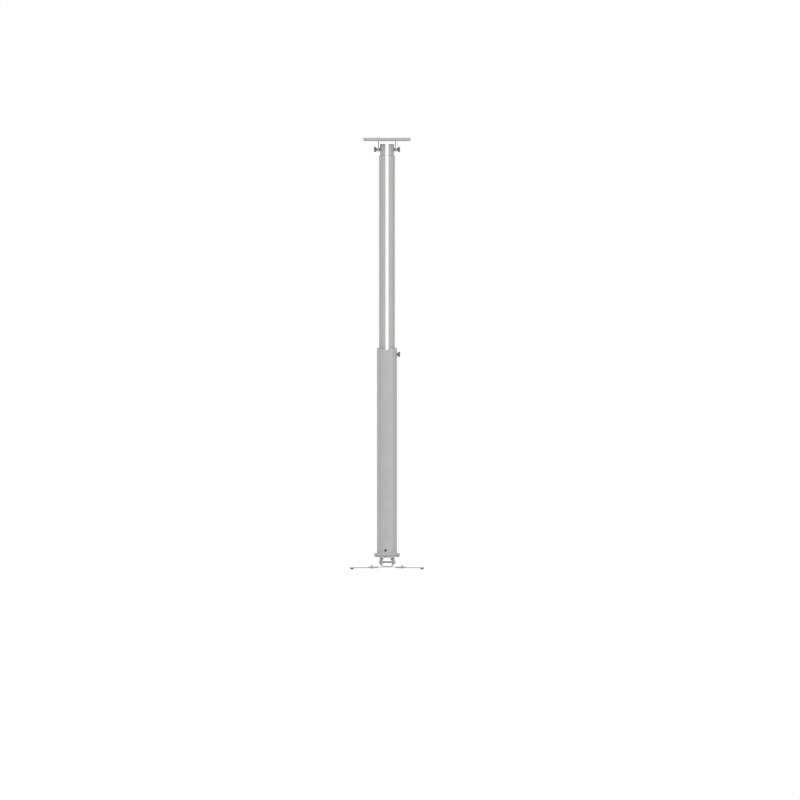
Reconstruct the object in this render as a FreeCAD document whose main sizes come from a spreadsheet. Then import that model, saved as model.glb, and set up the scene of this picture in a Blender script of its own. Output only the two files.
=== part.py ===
import FreeCAD
import Part
import Sketcher
import math
import os
import re

# Telescopic ceiling mount for a projector.
# Millimetres, +Z up, -Y is the front. The origin is the middle of the ceiling face, on the column's axis.
# The column hangs below it at full reach, and the lower tube slides up over the twin rails.

SIZES = {
    # Overall reach, from the ceiling face to the feet that the projector is screwed to
    "drop_max": 1970,
    # Clearances: fixed fits, running fits and flat sliding faces
    "fit_gap": 0.1,
    "run_gap": 0.3,
    "slide_gap": 0.2,
    # Ceiling plate, a ribbed casting with slotted corners
    "plate_side": 217,
    "plate_corner": 18,
    "plate_height": 13.7,
    "plate_chamfer": 4.5,
    "plate_skin": 5,
    "plate_rim": 6,
    "plate_rib": 5,
    "boss_wall": 3.4,
    "cable_ledge": 2,
    "bolt_spacing": 160,
    "bolt_slot_width": 9,
    "bolt_slot_length": 24,
    "bolt_boss_wall": 5,
    # Open socket under the plate: a base let into it, and two lugs with saddles for the neck of the rails
    "socket_base": 4,
    "lug_gap": 4.5,
    "lug_thickness": 4.5,
    "lug_width": 30,
    "lug_length": 50.3,
    "lug_corner": 8,
    "saddle_diameter": 12.6,
    "socket_knob_drop": 38.9,
    "socket_screw_length": 13,
    # Twin rails with a see-through cable gap
    "rail_diameter": 73,
    "rail_gap": 14,
    "rail_wall": 8,
    "rail_web": 4,
    "rail_drop": 13.7,
    "neck_wall": 3.5,
    "neck_length": 50.3,
    "neck_lead": 2,
    "shoulder_drop": 4.5,
    # End stop under the rails
    "stop_thickness": 12,
    "stop_chamfer": 1,
    "stop_slot_length": 50,
    "stop_screw_length": 26,
    # Lower tube with its guide collar
    "tube_wall": 3,
    "tube_length": 937,
    "lip_height": 3,
    "lip_chamfer": 1,
    "collar_wall": 6.1,
    "collar_length": 48,
    "key_reach": 8,
    "key_drop": 3,
    "notch_radius": 11.5,
    "notch_depth": 9,
    # Height lock
    "lock_drop": 29.7,
    "insert_diameter": 13,
    "pad_length": 4,
    # Knobs and their studs
    "knob_diameter": 22.9,
    "knob_thickness": 9.1,
    "knob_chamfer": 1.4,
    "knob_neck_diameter": 13.7,
    "knob_neck_length": 4.6,
    "knob_flutes": 8,
    "flute_radius": 3.2,
    "flute_depth": 1.5,
    "stud_diameter": 8,
    "stud_grip": 9,
    "stud_tip": 7,
    "knob_washer_diameter": 15,
    "knob_washer_thickness": 4.2,
    # End hub in the foot of the tube
    "hub_diameter": 118,
    "hub_height": 10.4,
    "hub_chamfer": 1,
    "hub_floor": 4,
    "spigot_height": 18,
    "spigot_wall": 3,
    "hub_screw_rise": 11.6,
    "hub_screw_turn": 8.6,
    "hub_screw_diameter": 6,
    "hub_screw_head": 10.5,
    "hub_screw_height": 3.3,
    # Swivel
    "washer_thickness": 1,
    "disc_height": 7,
    "disc_chamfer": 4.5,
    "sleeve_diameter": 26,
    "sleeve_bore": 19,
    "sleeve_head": 31,
    "sleeve_head_height": 3,
    "ring_nut_diameter": 40,
    "ring_nut_height": 7,
    "ring_nut_slot": 5,
    "ring_nut_slot_depth": 3,
    "cheek_span": 60,
    "cheek_thickness": 5.5,
    "cheek_radius": 16,
    "cheek_root": 24,
    # Tilt head
    "tilt_drop": 23,
    "tilt_range": 15,
    "base_drop": 18,
    "sheet_thickness": 3,
    "bend_radius": 2,
    "ear_radius": 21,
    "tilt_bolt_diameter": 8,
    "tilt_bolt_flats": 13,
    "tilt_bolt_head": 5.3,
    "tilt_nut_height": 6.5,
    "tilt_washer_diameter": 16,
    "tilt_washer_thickness": 1.6,
    "lock_radius": 15,
    "small_bolt_diameter": 6,
    "small_bolt_flats": 10,
    "small_bolt_head": 4,
    "small_nut_height": 5,
    "thread_past": 2,
    # Countersunk screws
    "screw_diameter": 5,
    "screw_head": 10,
    "bracket_screw_radius": 19,
    # Spider plate
    "spider_length": 176,
    "spider_width": 148,
    "spider_thickness": 3,
    "spider_corner": 20,
    "clamp_x": 70,
    "clamp_y": 56,
    "scallop_depth": 20,
    # Spider arms and their feet
    "feet_x": 160,
    "feet_y": 135,
    "arm_width": 20,
    "arm_thickness": 3,
    "arm_tail": 38,
    "slide_in": 22,
    "slide_out": 24,
    "foot_height": 5,
    "foot_diameter": 15,
    "foot_top": 12,
    "foot_bore": 4.5,
    "arm_bolt_head": 14,
    "arm_bolt_height": 3,
    "arm_nut_flange": 14,
    "arm_nut_flange_height": 1.5,
}

# Levels and radii worked out from the sizes above
DERIVED = {
    "plate_under": "-plate_height",
    "socket_under": "plate_under - lug_length",
    "socket_knob_level": "plate_under - socket_knob_drop",
    "rail_top": "plate_under - rail_drop",
    "neck_under": "rail_top - neck_length",
    "shoulder": "neck_under - shoulder_drop",
    "foot_face": "-drop_max",
    "arm_under": "foot_face + foot_height",
    "arm_top": "arm_under + arm_thickness",
    "spider_under": "arm_top + slide_gap",
    "spider_top": "spider_under + spider_thickness",
    "base_top": "spider_top + sheet_thickness",
    "tilt_level": "base_top + base_drop",
    "disc_under": "tilt_level + tilt_drop",
    "disc_top": "disc_under + disc_height",
    "hub_under": "disc_top + washer_thickness",
    "hub_top": "hub_under + hub_height",
    "floor_top": "hub_under + hub_floor",
    "ring_nut_under": "floor_top + washer_thickness",
    "ring_nut_top": "ring_nut_under + ring_nut_height",
    "hub_screw_level": "hub_top + hub_screw_rise",
    "tube_top": "hub_top + tube_length",
    "tube_rim": "tube_top - lip_height",
    "collar_under": "tube_top - collar_length",
    "lock_level": "tube_top - lock_drop",
    "notch_level": "tube_top - notch_depth + notch_radius",
    "key_top": "tube_top - notch_depth - key_drop",
    "rail_under": "collar_under - run_gap",
    "stop_under": "rail_under - stop_thickness",
    "rail_radius": "rail_diameter / 2",
    "cavity_radius": "rail_radius - rail_wall",
    "neck_radius": "cavity_radius + neck_wall",
    "saddle_radius": "neck_radius + run_gap",
    "lug_inside": "neck_radius + lug_gap",
    "lug_face": "lug_inside + lug_thickness",
    "socket_radius": "sqrt(lug_face ^ 2 + (lug_width / 2) ^ 2)",
    "cable_radius": "neck_radius - cable_ledge",
    "boss_radius": "socket_radius + boss_wall",
    "socket_screw_radius": "(socket_radius + cable_radius) / 2",
    "stop_screw_radius": "rail_radius - rail_wall / 2",
    "collar_bore_radius": "rail_radius + run_gap",
    "liner_radius": "collar_bore_radius + collar_wall",
    "tube_bore_radius": "liner_radius + fit_gap",
    "tube_radius": "tube_bore_radius + tube_wall",
    "spigot_bore_radius": "liner_radius - spigot_wall",
    "stop_radius": "spigot_bore_radius - run_gap",
    "stud_radius": "stud_diameter / 2",
    "stud_hole": "stud_radius + run_gap",
    "pad_face": "rail_radius + run_gap",
    "lock_knob_seat": "tube_radius + run_gap",
    "washer_seat": "lug_face + run_gap",
    "socket_knob_seat": "washer_seat + knob_washer_thickness + slide_gap",
    "sleeve_radius": "sleeve_diameter / 2",
    "cheek_face": "cheek_span / 2",
    "cheek_inside": "cheek_face - cheek_thickness",
    "ear_face": "cheek_inside - run_gap",
    "ear_inside": "ear_face - sheet_thickness",
    "slot_half": "small_bolt_diameter / 2 + run_gap",
    "lobe_x": "spider_length / 2 - spider_corner",
    "lobe_y": "spider_width / 2 - spider_corner",
    "scallop_rise": "spider_corner - scallop_depth",
    "long_scallop": "(lobe_x ^ 2 + scallop_rise ^ 2 - spider_corner ^ 2) / (2 * scallop_depth)",
    "short_scallop": "(lobe_y ^ 2 + scallop_rise ^ 2 - spider_corner ^ 2) / (2 * scallop_depth)",
    "arm_reach": "sqrt((feet_x - clamp_x) ^ 2 + (feet_y - clamp_y) ^ 2)",
    "arm_angle": "atan2(feet_y - clamp_y; feet_x - clamp_x)",
    "arm_slot_half": "small_bolt_diameter / 2 + 2 * slide_gap",
}

# How far a cutting profile runs past the stock that it cuts
PAST = 2.0

doc = FreeCAD.newDocument("CeilingMount")
sheet = doc.addObject("Spreadsheet::Sheet", "Sizes")
pieces = []


def fill_sheet():
    """Writes each size to a row of the sheet, with its name as the alias of its cell."""
    for row, (name, number) in enumerate(SIZES.items(), start=1):
        sheet.set(f"A{row}", name)
        sheet.set(f"B{row}", str(number))
        sheet.setAlias(f"B{row}", name)
    doc.recompute()


def bind(text):
    """Writes an expression over the sheet, with the derived names opened up."""

    def open_up(match):
        word = match.group()
        if word in DERIVED:
            return f"({bind(DERIVED[word])})"
        if word in SIZES:
            return f"Sizes.{word}"
        return word

    return re.sub(r"[a-z][a-z_]*", open_up, text)


def value(text):
    """Gives the number that an expression over the sheet has now."""
    result = sheet.evalExpression(bind(text))
    return float(getattr(result, "Value", result))


def new_body(label):
    """Starts a sub-part."""
    body = doc.addObject("PartDesign::Body", label)
    body.Label = label
    pieces.append(body)
    return body


def origin_of(body, role):
    """Finds an origin plane or axis of a body by its role."""
    return next(item for item in body.Origin.OriginFeatures if item.Role == role)


def new_sketch(body, plane, offset="0", turn="0"):
    """Starts a sketch on an origin plane, moved along its normal and turned about the column's axis."""
    sketch = body.newObject("Sketcher::SketchObject", "Sketch")
    sketch.AttachmentSupport = [(origin_of(body, f"{plane}_Plane"), "")]
    sketch.MapMode = "FlatFace"
    upright = FreeCAD.Vector(0, 0, 1) if plane == "XY" else FreeCAD.Vector(0, 1, 0)
    sketch.AttachmentOffset = FreeCAD.Placement(FreeCAD.Vector(), FreeCAD.Rotation(upright, value(turn)))
    sketch.setExpression("AttachmentOffset.Base.z", bind(offset))
    sketch.setExpression("AttachmentOffset.Rotation.Angle", bind(turn))
    return sketch


def tie(sketch, kind, text, *where):
    """Adds a dimension to a sketch and binds it to an expression."""
    number = sketch.addConstraint(Sketcher.Constraint(kind, *where, value(text)))
    sketch.setExpression(f"Constraints[{number}]", bind(text))


def pin(sketch, edge, end, x, y):
    """Fixes a point of an edge at a place given by two expressions; None leaves that way free."""
    if x is not None:
        tie(sketch, "DistanceX", x, -1, 1, edge, end)
    if y is not None:
        tie(sketch, "DistanceY", y, -1, 1, edge, end)


def arc_between(start, end, radius, turn):
    """Gives the short arc from start to end that turns left or right as it goes."""
    chord = end - start
    across = FreeCAD.Vector(-chord.y, chord.x, 0).normalize()
    rise = math.sqrt(max(radius ** 2 - (chord.Length / 2) ** 2, 0))
    side = 1 if turn == "left" else -1
    centre = (start + end) / 2 + across * rise * side
    first, last = (start, end) if turn == "left" else (end, start)
    circle = Part.Circle(centre, FreeCAD.Vector(0, 0, 1), radius)
    angles = [math.atan2(point.y - centre.y, point.x - centre.x) for point in (first, last)]
    return Part.ArcOfCircle(circle, *angles)


def outline(sketch, corners, arcs=None):
    """Draws a closed outline through corners, each a pair of expressions.

    An edge is straight unless arcs, keyed by the number of the corner that it starts from, gives its
    radius and the way it turns.
    """
    arcs = arcs or {}
    points = [FreeCAD.Vector(value(x), value(y), 0) for x, y in corners]
    edges = []
    for number, start in enumerate(points):
        end = points[(number + 1) % len(points)]
        if number in arcs:
            radius, turn = arcs[number]
            edge = sketch.addGeometry(arc_between(start, end, value(radius), turn))
            tie(sketch, "Radius", radius, edge)
            ends = (1, 2) if turn == "left" else (2, 1)
        else:
            edge = sketch.addGeometry(Part.LineSegment(start, end))
            ends = (1, 2)
        edges.append((edge, *ends))
    for number, (edge, first, last) in enumerate(edges):
        following, its_first, _ = edges[(number + 1) % len(edges)]
        sketch.addConstraint(Sketcher.Constraint("Coincident", edge, last, following, its_first))
        pin(sketch, edge, first, *corners[number])


def rectangle(sketch, left, right, low, high):
    """Draws a rectangle between four expressions."""
    outline(sketch, [(left, low), (right, low), (right, high), (left, high)])


def rounded_rectangle(sketch, half_x, half_y, radius):
    """Draws a rectangle about the origin with rounded corners."""
    inner_x = f"({half_x} - ({radius}))"
    inner_y = f"({half_y} - ({radius}))"
    corners = [
        (f"-{inner_x}", f"-({half_y})"),
        (inner_x, f"-({half_y})"),
        (half_x, f"-{inner_y}"),
        (half_x, inner_y),
        (inner_x, half_y),
        (f"-{inner_x}", half_y),
        (f"-({half_x})", inner_y),
        (f"-({half_x})", f"-{inner_y}"),
    ]
    outline(sketch, corners, {number: (radius, "left") for number in (1, 3, 5, 7)})


def circle(sketch, radius, x="0", y="0"):
    """Draws a circle."""
    centre = FreeCAD.Vector(value(x), value(y), 0)
    edge = sketch.addGeometry(Part.Circle(centre, FreeCAD.Vector(0, 0, 1), value(radius)))
    pin(sketch, edge, 3, x, y)
    tie(sketch, "Radius", radius, edge)


def slot(sketch, radius, low, high, across="0", along_y=False):
    """Draws a slot with round ends, centred on low and high along one axis and on across along the next."""

    def place(along, over):
        return (over, along) if along_y else (along, over)

    ends = []
    quarter = math.pi / 2
    for along, first_angle in ((low, 1), (high, -1)):
        spot = place(along, across)
        centre = FreeCAD.Vector(value(spot[0]), value(spot[1]), 0)
        ring = Part.Circle(centre, FreeCAD.Vector(0, 0, 1), value(radius))
        start = first_angle * quarter + (quarter if along_y else 0)
        edge = sketch.addGeometry(Part.ArcOfCircle(ring, start, start + math.pi))
        pin(sketch, edge, 3, *spot)
        tie(sketch, "Radius", radius, edge)
        for end in (1, 2):
            pin(sketch, edge, end, *place(along, None))
        ends.append(edge)
    for first, second in (ends, ends[::-1]):
        points = sketch.getPoint(first, 2), sketch.getPoint(second, 1)
        line = sketch.addGeometry(Part.LineSegment(*points))
        sketch.addConstraint(Sketcher.Constraint("Coincident", first, 2, line, 1))
        sketch.addConstraint(Sketcher.Constraint("Coincident", line, 2, second, 1))


def hexagon(sketch, flats):
    """Draws a regular hexagon about the origin from its width across flats."""
    reach = f"{flats} / 2 / cos(30)"
    outline(sketch, [(f"{reach} * cos({60 * k})", f"{reach} * sin({60 * k})") for k in range(6)])


def grown(body, feature):
    """Rebuilds a body after a feature that adds material."""
    body.Tip = feature
    doc.recompute()
    return feature


def cut(body, feature, before):
    """Rebuilds a body after a feature that takes material away, and makes sure that it did."""
    body.Tip = feature
    doc.recompute()
    if not body.Shape.Volume < before:
        raise RuntimeError(f"{feature.Name} of {body.Label} cuts nothing")
    return feature


def pad(body, sketch, length, down=False, both=False):
    """Extrudes a sketch along its normal, against it, or half each way."""
    feature = body.newObject("PartDesign::Pad", "Pad")
    feature.Profile = sketch
    feature.Reversed = down
    feature.SideType = "Symmetric" if both else "One side"
    feature.setExpression("Length", bind(length))
    return grown(body, feature)


def pocket(body, sketch, depth=None, up=False, both=False):
    """Cuts a sketch against its normal, along it, or both ways; without a depth it goes right through."""
    before = body.Shape.Volume
    feature = body.newObject("PartDesign::Pocket", "Pocket")
    feature.Profile = sketch
    feature.Reversed = up
    feature.SideType = "Symmetric" if both else "One side"
    if depth is None:
        feature.Type = "ThroughAll"
    else:
        feature.setExpression("Length", bind(depth))
    return cut(body, feature, before)


def revolve(body, sketch, axis="V_Axis"):
    """Turns a sketch about one of its axes."""
    feature = body.newObject("PartDesign::Revolution", "Revolution")
    feature.Profile = sketch
    feature.ReferenceAxis = (sketch, [axis])
    feature.Angle = 360
    return grown(body, feature)


def groove(body, sketch, axis="V_Axis"):
    """Turns away a sketch about one of its axes."""
    before = body.Shape.Volume
    feature = body.newObject("PartDesign::Groove", "Groove")
    feature.Profile = sketch
    feature.ReferenceAxis = (sketch, [axis])
    feature.Angle = 360
    return cut(body, feature, before)


def around(body, feature, count):
    """Repeats a feature evenly about the column's axis."""
    pattern = body.newObject("PartDesign::PolarPattern", "PolarPattern")
    pattern.Originals = [feature]
    pattern.Axis = (origin_of(body, "Z_Axis"), [""])
    pattern.Angle = 360
    pattern.setExpression("Occurrences", bind(count))
    return grown(body, pattern)


def mirrored(body, feature, plane):
    """Repeats a feature on the other side of an origin plane."""
    mirror = body.newObject("PartDesign::Mirrored", "Mirrored")
    mirror.Originals = [feature]
    mirror.MirrorPlane = (origin_of(body, f"{plane}_Plane"), [""])
    return grown(body, mirror)


def chamfer_level(body, feature, level, size):
    """Chamfers every edge that lies flat at one level."""
    height = value(level)
    flat = [
        f"Edge{number}"
        for number, edge in enumerate(feature.Shape.Edges, start=1)
        if abs(edge.BoundBox.ZMin - height) < 0.01 and abs(edge.BoundBox.ZMax - height) < 0.01
    ]
    chamfer = body.newObject("PartDesign::Chamfer", "Chamfer")
    chamfer.Base = (feature, flat)
    chamfer.setExpression("Size", bind(size))
    return grown(body, chamfer)


def place(body, x="0", y="0", z="0", axis=(0, 0, 1), angle="0"):
    """Places a sub-part by expressions, turned about one axis."""
    turned = FreeCAD.Rotation(FreeCAD.Vector(*axis), value(angle))
    body.Placement = FreeCAD.Placement(FreeCAD.Vector(), turned)
    body.setExpression("Placement.Rotation.Angle", bind(angle))
    for letter, text in zip("xyz", (x, y, z)):
        body.setExpression(f"Placement.Base.{letter}", bind(text))


def place_across(body, x, z, side):
    """Lays a sub-part's own Z axis along +X or -X, with its origin at x on that side."""
    place(body, x=f"{side} * ({x})", z=z, axis=(0, 1, 0), angle="90" if side > 0 else "270")


def ring_piece(label, outer, inner, low, height):
    """Makes a flat ring about the column's axis."""
    body = new_body(label)
    sketch = new_sketch(body, "XY", low)
    circle(sketch, outer)
    circle(sketch, inner)
    pad(body, sketch, height)
    return body


def screw_profile(sketch, radius, top, length, facing, grow="0"):
    """Draws half of a countersunk screw, with its axis at radius and its head facing up (1) or down (-1)."""
    shank = f"screw_diameter / 2 + {grow}"
    head = f"screw_head / 2 + {grow}"
    tip = f"{top} - {facing} * ({length})"
    corners = [
        (radius, top),
        (f"{radius} + {head}", top),
        (f"{radius} + {shank}", f"{top} - {facing} * (screw_head - screw_diameter) / 2"),
        (f"{radius} + {shank}", tip),
        (radius, tip),
    ]
    outline(sketch, corners)
    axis = sketch.addGeometry(
        Part.LineSegment(
            FreeCAD.Vector(value(radius), value(top), 0), FreeCAD.Vector(value(radius), value(tip), 0)
        ),
        True,
    )
    pin(sketch, axis, 1, radius, top)
    pin(sketch, axis, 2, radius, tip)


def screw_ring(label, radius, top, length, facing):
    """Makes four countersunk screws on the diagonals."""
    body = new_body(label)
    sketch = new_sketch(body, "XZ", turn="45")
    screw_profile(sketch, radius, top, length, facing)
    around(body, revolve(body, sketch, "Axis0"), "4")


def screw_holes(body, radius, top, length, facing):
    """Cuts the seats of four countersunk screws on the diagonals."""
    sketch = new_sketch(body, "XZ", turn="45")
    screw_profile(sketch, radius, top, length, facing, "fit_gap")
    around(body, groove(body, sketch, "Axis0"), "4")


def make_ceiling_plate():
    """Casts the plate: a ribbed tray open to the ceiling, with bolt slots and a seat for the socket."""
    body = new_body("ceiling_plate")
    face = new_sketch(body, "XY")
    rounded_rectangle(face, "plate_side / 2", "plate_side / 2", "plate_corner")
    blank = pad(body, face, "plate_height", down=True)
    chamfer_level(body, blank, "plate_under", "plate_chamfer")

    tray = new_sketch(body, "XY")
    inside = "plate_side / 2 - plate_rim"
    rounded_rectangle(tray, inside, inside, "plate_corner - plate_rim")
    circle(tray, "boss_radius")
    half_slot = "(bolt_slot_length - bolt_slot_width) / 2"
    half_spacing = ("-bolt_spacing / 2", "bolt_spacing / 2")
    spots = [(x, y) for x in half_spacing for y in half_spacing]
    for x, y in spots:
        slot(tray, "bolt_slot_width / 2 + bolt_boss_wall", f"{x} - {half_slot}", f"{x} + {half_slot}", y)
    pocket(body, tray, "plate_height - plate_skin")

    for turn, reach in (("0", "plate_side / 2 - plate_rim / 2"), ("45", "bolt_spacing / sqrt(2)")):
        rib = new_sketch(body, "XY", turn=turn)
        rectangle(rib, "boss_radius - plate_rib", reach, "-plate_rib / 2", "plate_rib / 2")
        around(body, pad(body, rib, "plate_height - plate_skin / 2", down=True), "4")

    holes = new_sketch(body, "XY")
    circle(holes, "cable_radius")
    for x, y in spots:
        slot(holes, "bolt_slot_width / 2", f"{x} - {half_slot}", f"{x} + {half_slot}", y)
    pocket(body, holes)
    seat = new_sketch(body, "XY", "plate_under")
    socket_outline(seat, "fit_gap")
    pocket(body, seat, "socket_base", up=True)
    screw_holes(body, "socket_screw_radius", "0", "plate_height", 1)


def socket_outline(sketch, gap="0"):
    """Draws the socket's base: round in front and behind, and flat where the lugs hang from it."""
    flat = f"(lug_face + {gap})"
    half = f"(lug_width / 2 + {gap})"
    rim = f"sqrt({flat} ^ 2 + {half} ^ 2)"
    corners = [(flat, f"-{half}"), (flat, half), (f"-{flat}", half), (f"-{flat}", f"-{half}")]
    outline(sketch, corners, {1: (rim, "left"), 3: (rim, "left")})


def make_ceiling_socket():
    """Makes the open socket, with a saddle and a cross hole in each lug for its clamp stud."""
    body = new_body("ceiling_socket")
    base = new_sketch(body, "XY", "plate_under")
    socket_outline(base)
    circle(base, "cable_radius")
    pad(body, base, "socket_base")

    lug = new_sketch(body, "YZ", "lug_inside")
    half = "(lug_width / 2)"
    root = "plate_under + socket_base / 2"
    corners = [
        (f"-{half}", root),
        (f"-{half}", "socket_under + lug_corner"),
        (f"-{half} + lug_corner", "socket_under"),
        (f"{half} - lug_corner", "socket_under"),
        (half, "socket_under + lug_corner"),
        (half, root),
    ]
    outline(lug, corners, {1: ("lug_corner", "left"), 3: ("lug_corner", "left")})
    mirrored(body, pad(body, lug, "lug_thickness"), "YZ")

    saddle = new_sketch(body, "YZ", f"saddle_radius - {PAST}")
    circle(saddle, "saddle_diameter / 2", "0", "socket_knob_level")
    mirrored(body, pad(body, saddle, f"lug_inside - saddle_radius + {PAST} + lug_thickness / 2"), "YZ")
    neck = new_sketch(body, "XY", "socket_under")
    circle(neck, "saddle_radius")
    pocket(body, neck, "lug_length", up=True)

    cross = new_sketch(body, "YZ")
    circle(cross, "stud_hole", "0", "socket_knob_level")
    pocket(body, cross, both=True)
    taps = new_sketch(body, "XY", "plate_under", turn="45")
    circle(taps, "screw_diameter / 2 + fit_gap", "socket_screw_radius", "0")
    around(body, pocket(body, taps, up=True), "4")


def make_inner_rail(label, side):
    """Extrudes one hollow D-shaped rail and turns its neck down to enter the socket."""
    body = new_body(label)
    section = new_sketch(body, "XY", "rail_under")
    for radius, flat in (("rail_radius", "(rail_gap / 2)"), ("cavity_radius", "(rail_gap / 2 + rail_web)")):
        reach = f"sqrt({radius} ^ 2 - {flat} ^ 2)"
        corners = [(f"{side} * {flat}", f"{-side} * {reach}"), (f"{side} * {flat}", f"{side} * {reach}")]
        outline(section, corners, {0: (radius, "left")})
    pad(body, section, "rail_top - rail_under")

    neck = new_sketch(body, "XZ")
    corners = [
        (f"neck_radius - neck_lead - {PAST}", f"rail_top + {PAST}"),
        ("neck_radius", "rail_top - neck_lead"),
        ("neck_radius", "neck_under"),
        ("rail_radius", "shoulder"),
        (f"rail_radius + {PAST}", "shoulder"),
        (f"rail_radius + {PAST}", f"rail_top + {PAST}"),
    ]
    outline(neck, corners)
    groove(body, neck)

    cross = new_sketch(body, "YZ", f"{side} * (cavity_radius - {PAST})")
    circle(cross, "stud_hole", "0", "socket_knob_level")
    pocket(body, cross, up=side > 0)
    taps = new_sketch(body, "XY", "rail_under")
    diagonal = "stop_screw_radius / sqrt(2)"
    for end in (-1, 1):
        circle(taps, "screw_diameter / 2 + fit_gap", f"{side} * {diagonal}", f"{end} * {diagonal}")
    pocket(body, taps, "stop_screw_length - stop_thickness + thread_past", up=True)


def make_end_stop():
    """Makes the stop that ties the rails together at the bottom, with a slot for the cables."""
    body = new_body("end_stop")
    face = new_sketch(body, "XY", "stop_under")
    circle(face, "stop_radius")
    disc = pad(body, face, "stop_thickness")
    chamfer_level(body, disc, "stop_under", "stop_chamfer")
    opening = new_sketch(body, "XY", "stop_under")
    half = "(stop_slot_length - rail_gap) / 2"
    slot(opening, "rail_gap / 2", f"-{half}", half, along_y=True)
    pocket(body, opening, up=True)
    screw_holes(body, "stop_screw_radius", "stop_under", "stop_thickness + fit_gap", -1)


def cut_notch(body):
    """Cuts the half-round cable notch in the front and back of the tube's mouth."""
    notch = new_sketch(body, "XZ")
    circle(notch, "notch_radius", "0", "notch_level")
    pocket(body, notch, both=True)


def cut_insert_hole(body):
    """Drills the hole for the lock insert in the right-hand side."""
    hole = new_sketch(body, "YZ")
    circle(hole, "insert_diameter / 2 + fit_gap", "0", "lock_level")
    pocket(body, hole, up=True)


def cut_hub_screw_holes(body):
    """Drills the three radial holes for the hub screws."""
    hole = new_sketch(body, "XZ", turn="360 - hub_screw_turn")
    circle(hole, "hub_screw_diameter / 2 + fit_gap", "0", "hub_screw_level")
    around(body, pocket(body, hole, up=True), "3")


def make_outer_tube():
    """Cuts the lower tube to length, notched at the mouth and drilled for the lock and the hub."""
    body = ring_piece("outer_tube", "tube_radius", "tube_bore_radius", "hub_top", "tube_rim - hub_top")
    cut_notch(body)
    cut_insert_hole(body)
    cut_hub_screw_holes(body)


def make_top_collar():
    """Moulds the guide collar: a liner with a lip, and two keys that run in the gap between the rails."""
    body = new_body("top_collar")
    section = new_sketch(body, "XZ")
    corners = [
        ("collar_bore_radius", "collar_under"),
        ("liner_radius", "collar_under"),
        ("liner_radius", "tube_rim"),
        ("tube_radius", "tube_rim"),
        ("tube_radius", "tube_top - lip_chamfer"),
        ("tube_radius - lip_chamfer", "tube_top"),
        ("collar_bore_radius", "tube_top"),
    ]
    outline(section, corners)
    revolve(body, section)
    keys = new_sketch(body, "XY", "collar_under")
    half = "rail_gap / 2 - run_gap"
    inner = "collar_bore_radius - key_reach"
    outer = "(collar_bore_radius + liner_radius) / 2"
    rectangle(keys, f"-({half})", half, inner, outer)
    rectangle(keys, f"-({half})", half, f"-{outer}", f"-({inner})")
    pad(body, keys, "key_top - collar_under")
    cut_notch(body)
    cut_insert_hole(body)


def make_lock_insert():
    """Turns the threaded insert that carries the lock stud through the tube and the collar."""
    inside = "pad_face + run_gap"
    body = ring_piece("lock_insert", "insert_diameter / 2", "stud_hole", "0", f"tube_radius - ({inside})")
    place_across(body, inside, "lock_level", 1)


def make_stud(label, tip, seat, level, side):
    """Makes a knob's stud, from its tip to its end inside the knob."""
    body = new_body(label)
    section = new_sketch(body, "XY")
    circle(section, "stud_radius")
    pad(body, section, f"{seat} + stud_grip - ({tip})")
    place_across(body, tip, level, side)


def make_lock_pad():
    """Makes the pad that the lock stud presses on the rail."""
    body = new_body("lock_pad")
    section = new_sketch(body, "XY")
    circle(section, "stud_radius")
    pad(body, section, "pad_length")
    place_across(body, "pad_face", "lock_level", 1)


def make_knob(label, seat, level, side):
    """Moulds a fluted knob on a neck, with a blind bore for its stud."""
    body = new_body(label)
    section = new_sketch(body, "XZ")
    top = "knob_neck_length + knob_thickness"
    corners = [
        ("stud_radius + fit_gap", "0"),
        ("knob_neck_diameter / 2", "0"),
        ("knob_neck_diameter / 2", "knob_neck_length"),
        ("knob_diameter / 2", "knob_neck_length"),
        ("knob_diameter / 2", f"{top} - knob_chamfer"),
        ("knob_diameter / 2 - knob_chamfer", top),
        ("0", top),
        ("0", "stud_grip + fit_gap"),
        ("stud_radius + fit_gap", "stud_grip + fit_gap"),
    ]
    outline(section, corners)
    revolve(body, section)
    flute = new_sketch(body, "XY", "knob_neck_length", turn="180 / knob_flutes")
    circle(flute, "flute_radius", "knob_diameter / 2 + flute_radius - flute_depth", "0")
    around(body, pocket(body, flute, up=True), "knob_flutes")
    place_across(body, seat, level, side)


def make_socket_clamp(side_name, side):
    """Makes one clamp of the socket: a knob, its stud and the washer under the knob."""
    make_knob(f"socket_knob_{side_name}", "socket_knob_seat", "socket_knob_level", side)
    tip = "neck_radius - stud_tip"
    make_stud(f"socket_stud_{side_name}", tip, "socket_knob_seat", "socket_knob_level", side)
    washer = ring_piece(
        f"socket_washer_{side_name}", "knob_washer_diameter / 2", "stud_hole", "0", "knob_washer_thickness"
    )
    place_across(washer, "washer_seat", "socket_knob_level", side)


def make_end_hub():
    """Turns the hub: a flanged cup whose spigot plugs into the foot of the tube."""
    body = new_body("end_hub")
    section = new_sketch(body, "XZ")
    corners = [
        ("sleeve_radius + run_gap", "hub_under"),
        ("hub_diameter / 2 - hub_chamfer", "hub_under"),
        ("hub_diameter / 2", "hub_under + hub_chamfer"),
        ("hub_diameter / 2", "hub_top - hub_chamfer"),
        ("hub_diameter / 2 - hub_chamfer", "hub_top"),
        ("liner_radius", "hub_top"),
        ("liner_radius", "hub_top + spigot_height"),
        ("spigot_bore_radius", "hub_top + spigot_height"),
        ("spigot_bore_radius", "floor_top"),
        ("sleeve_radius + run_gap", "floor_top"),
    ]
    outline(section, corners)
    revolve(body, section)
    cut_hub_screw_holes(body)


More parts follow.
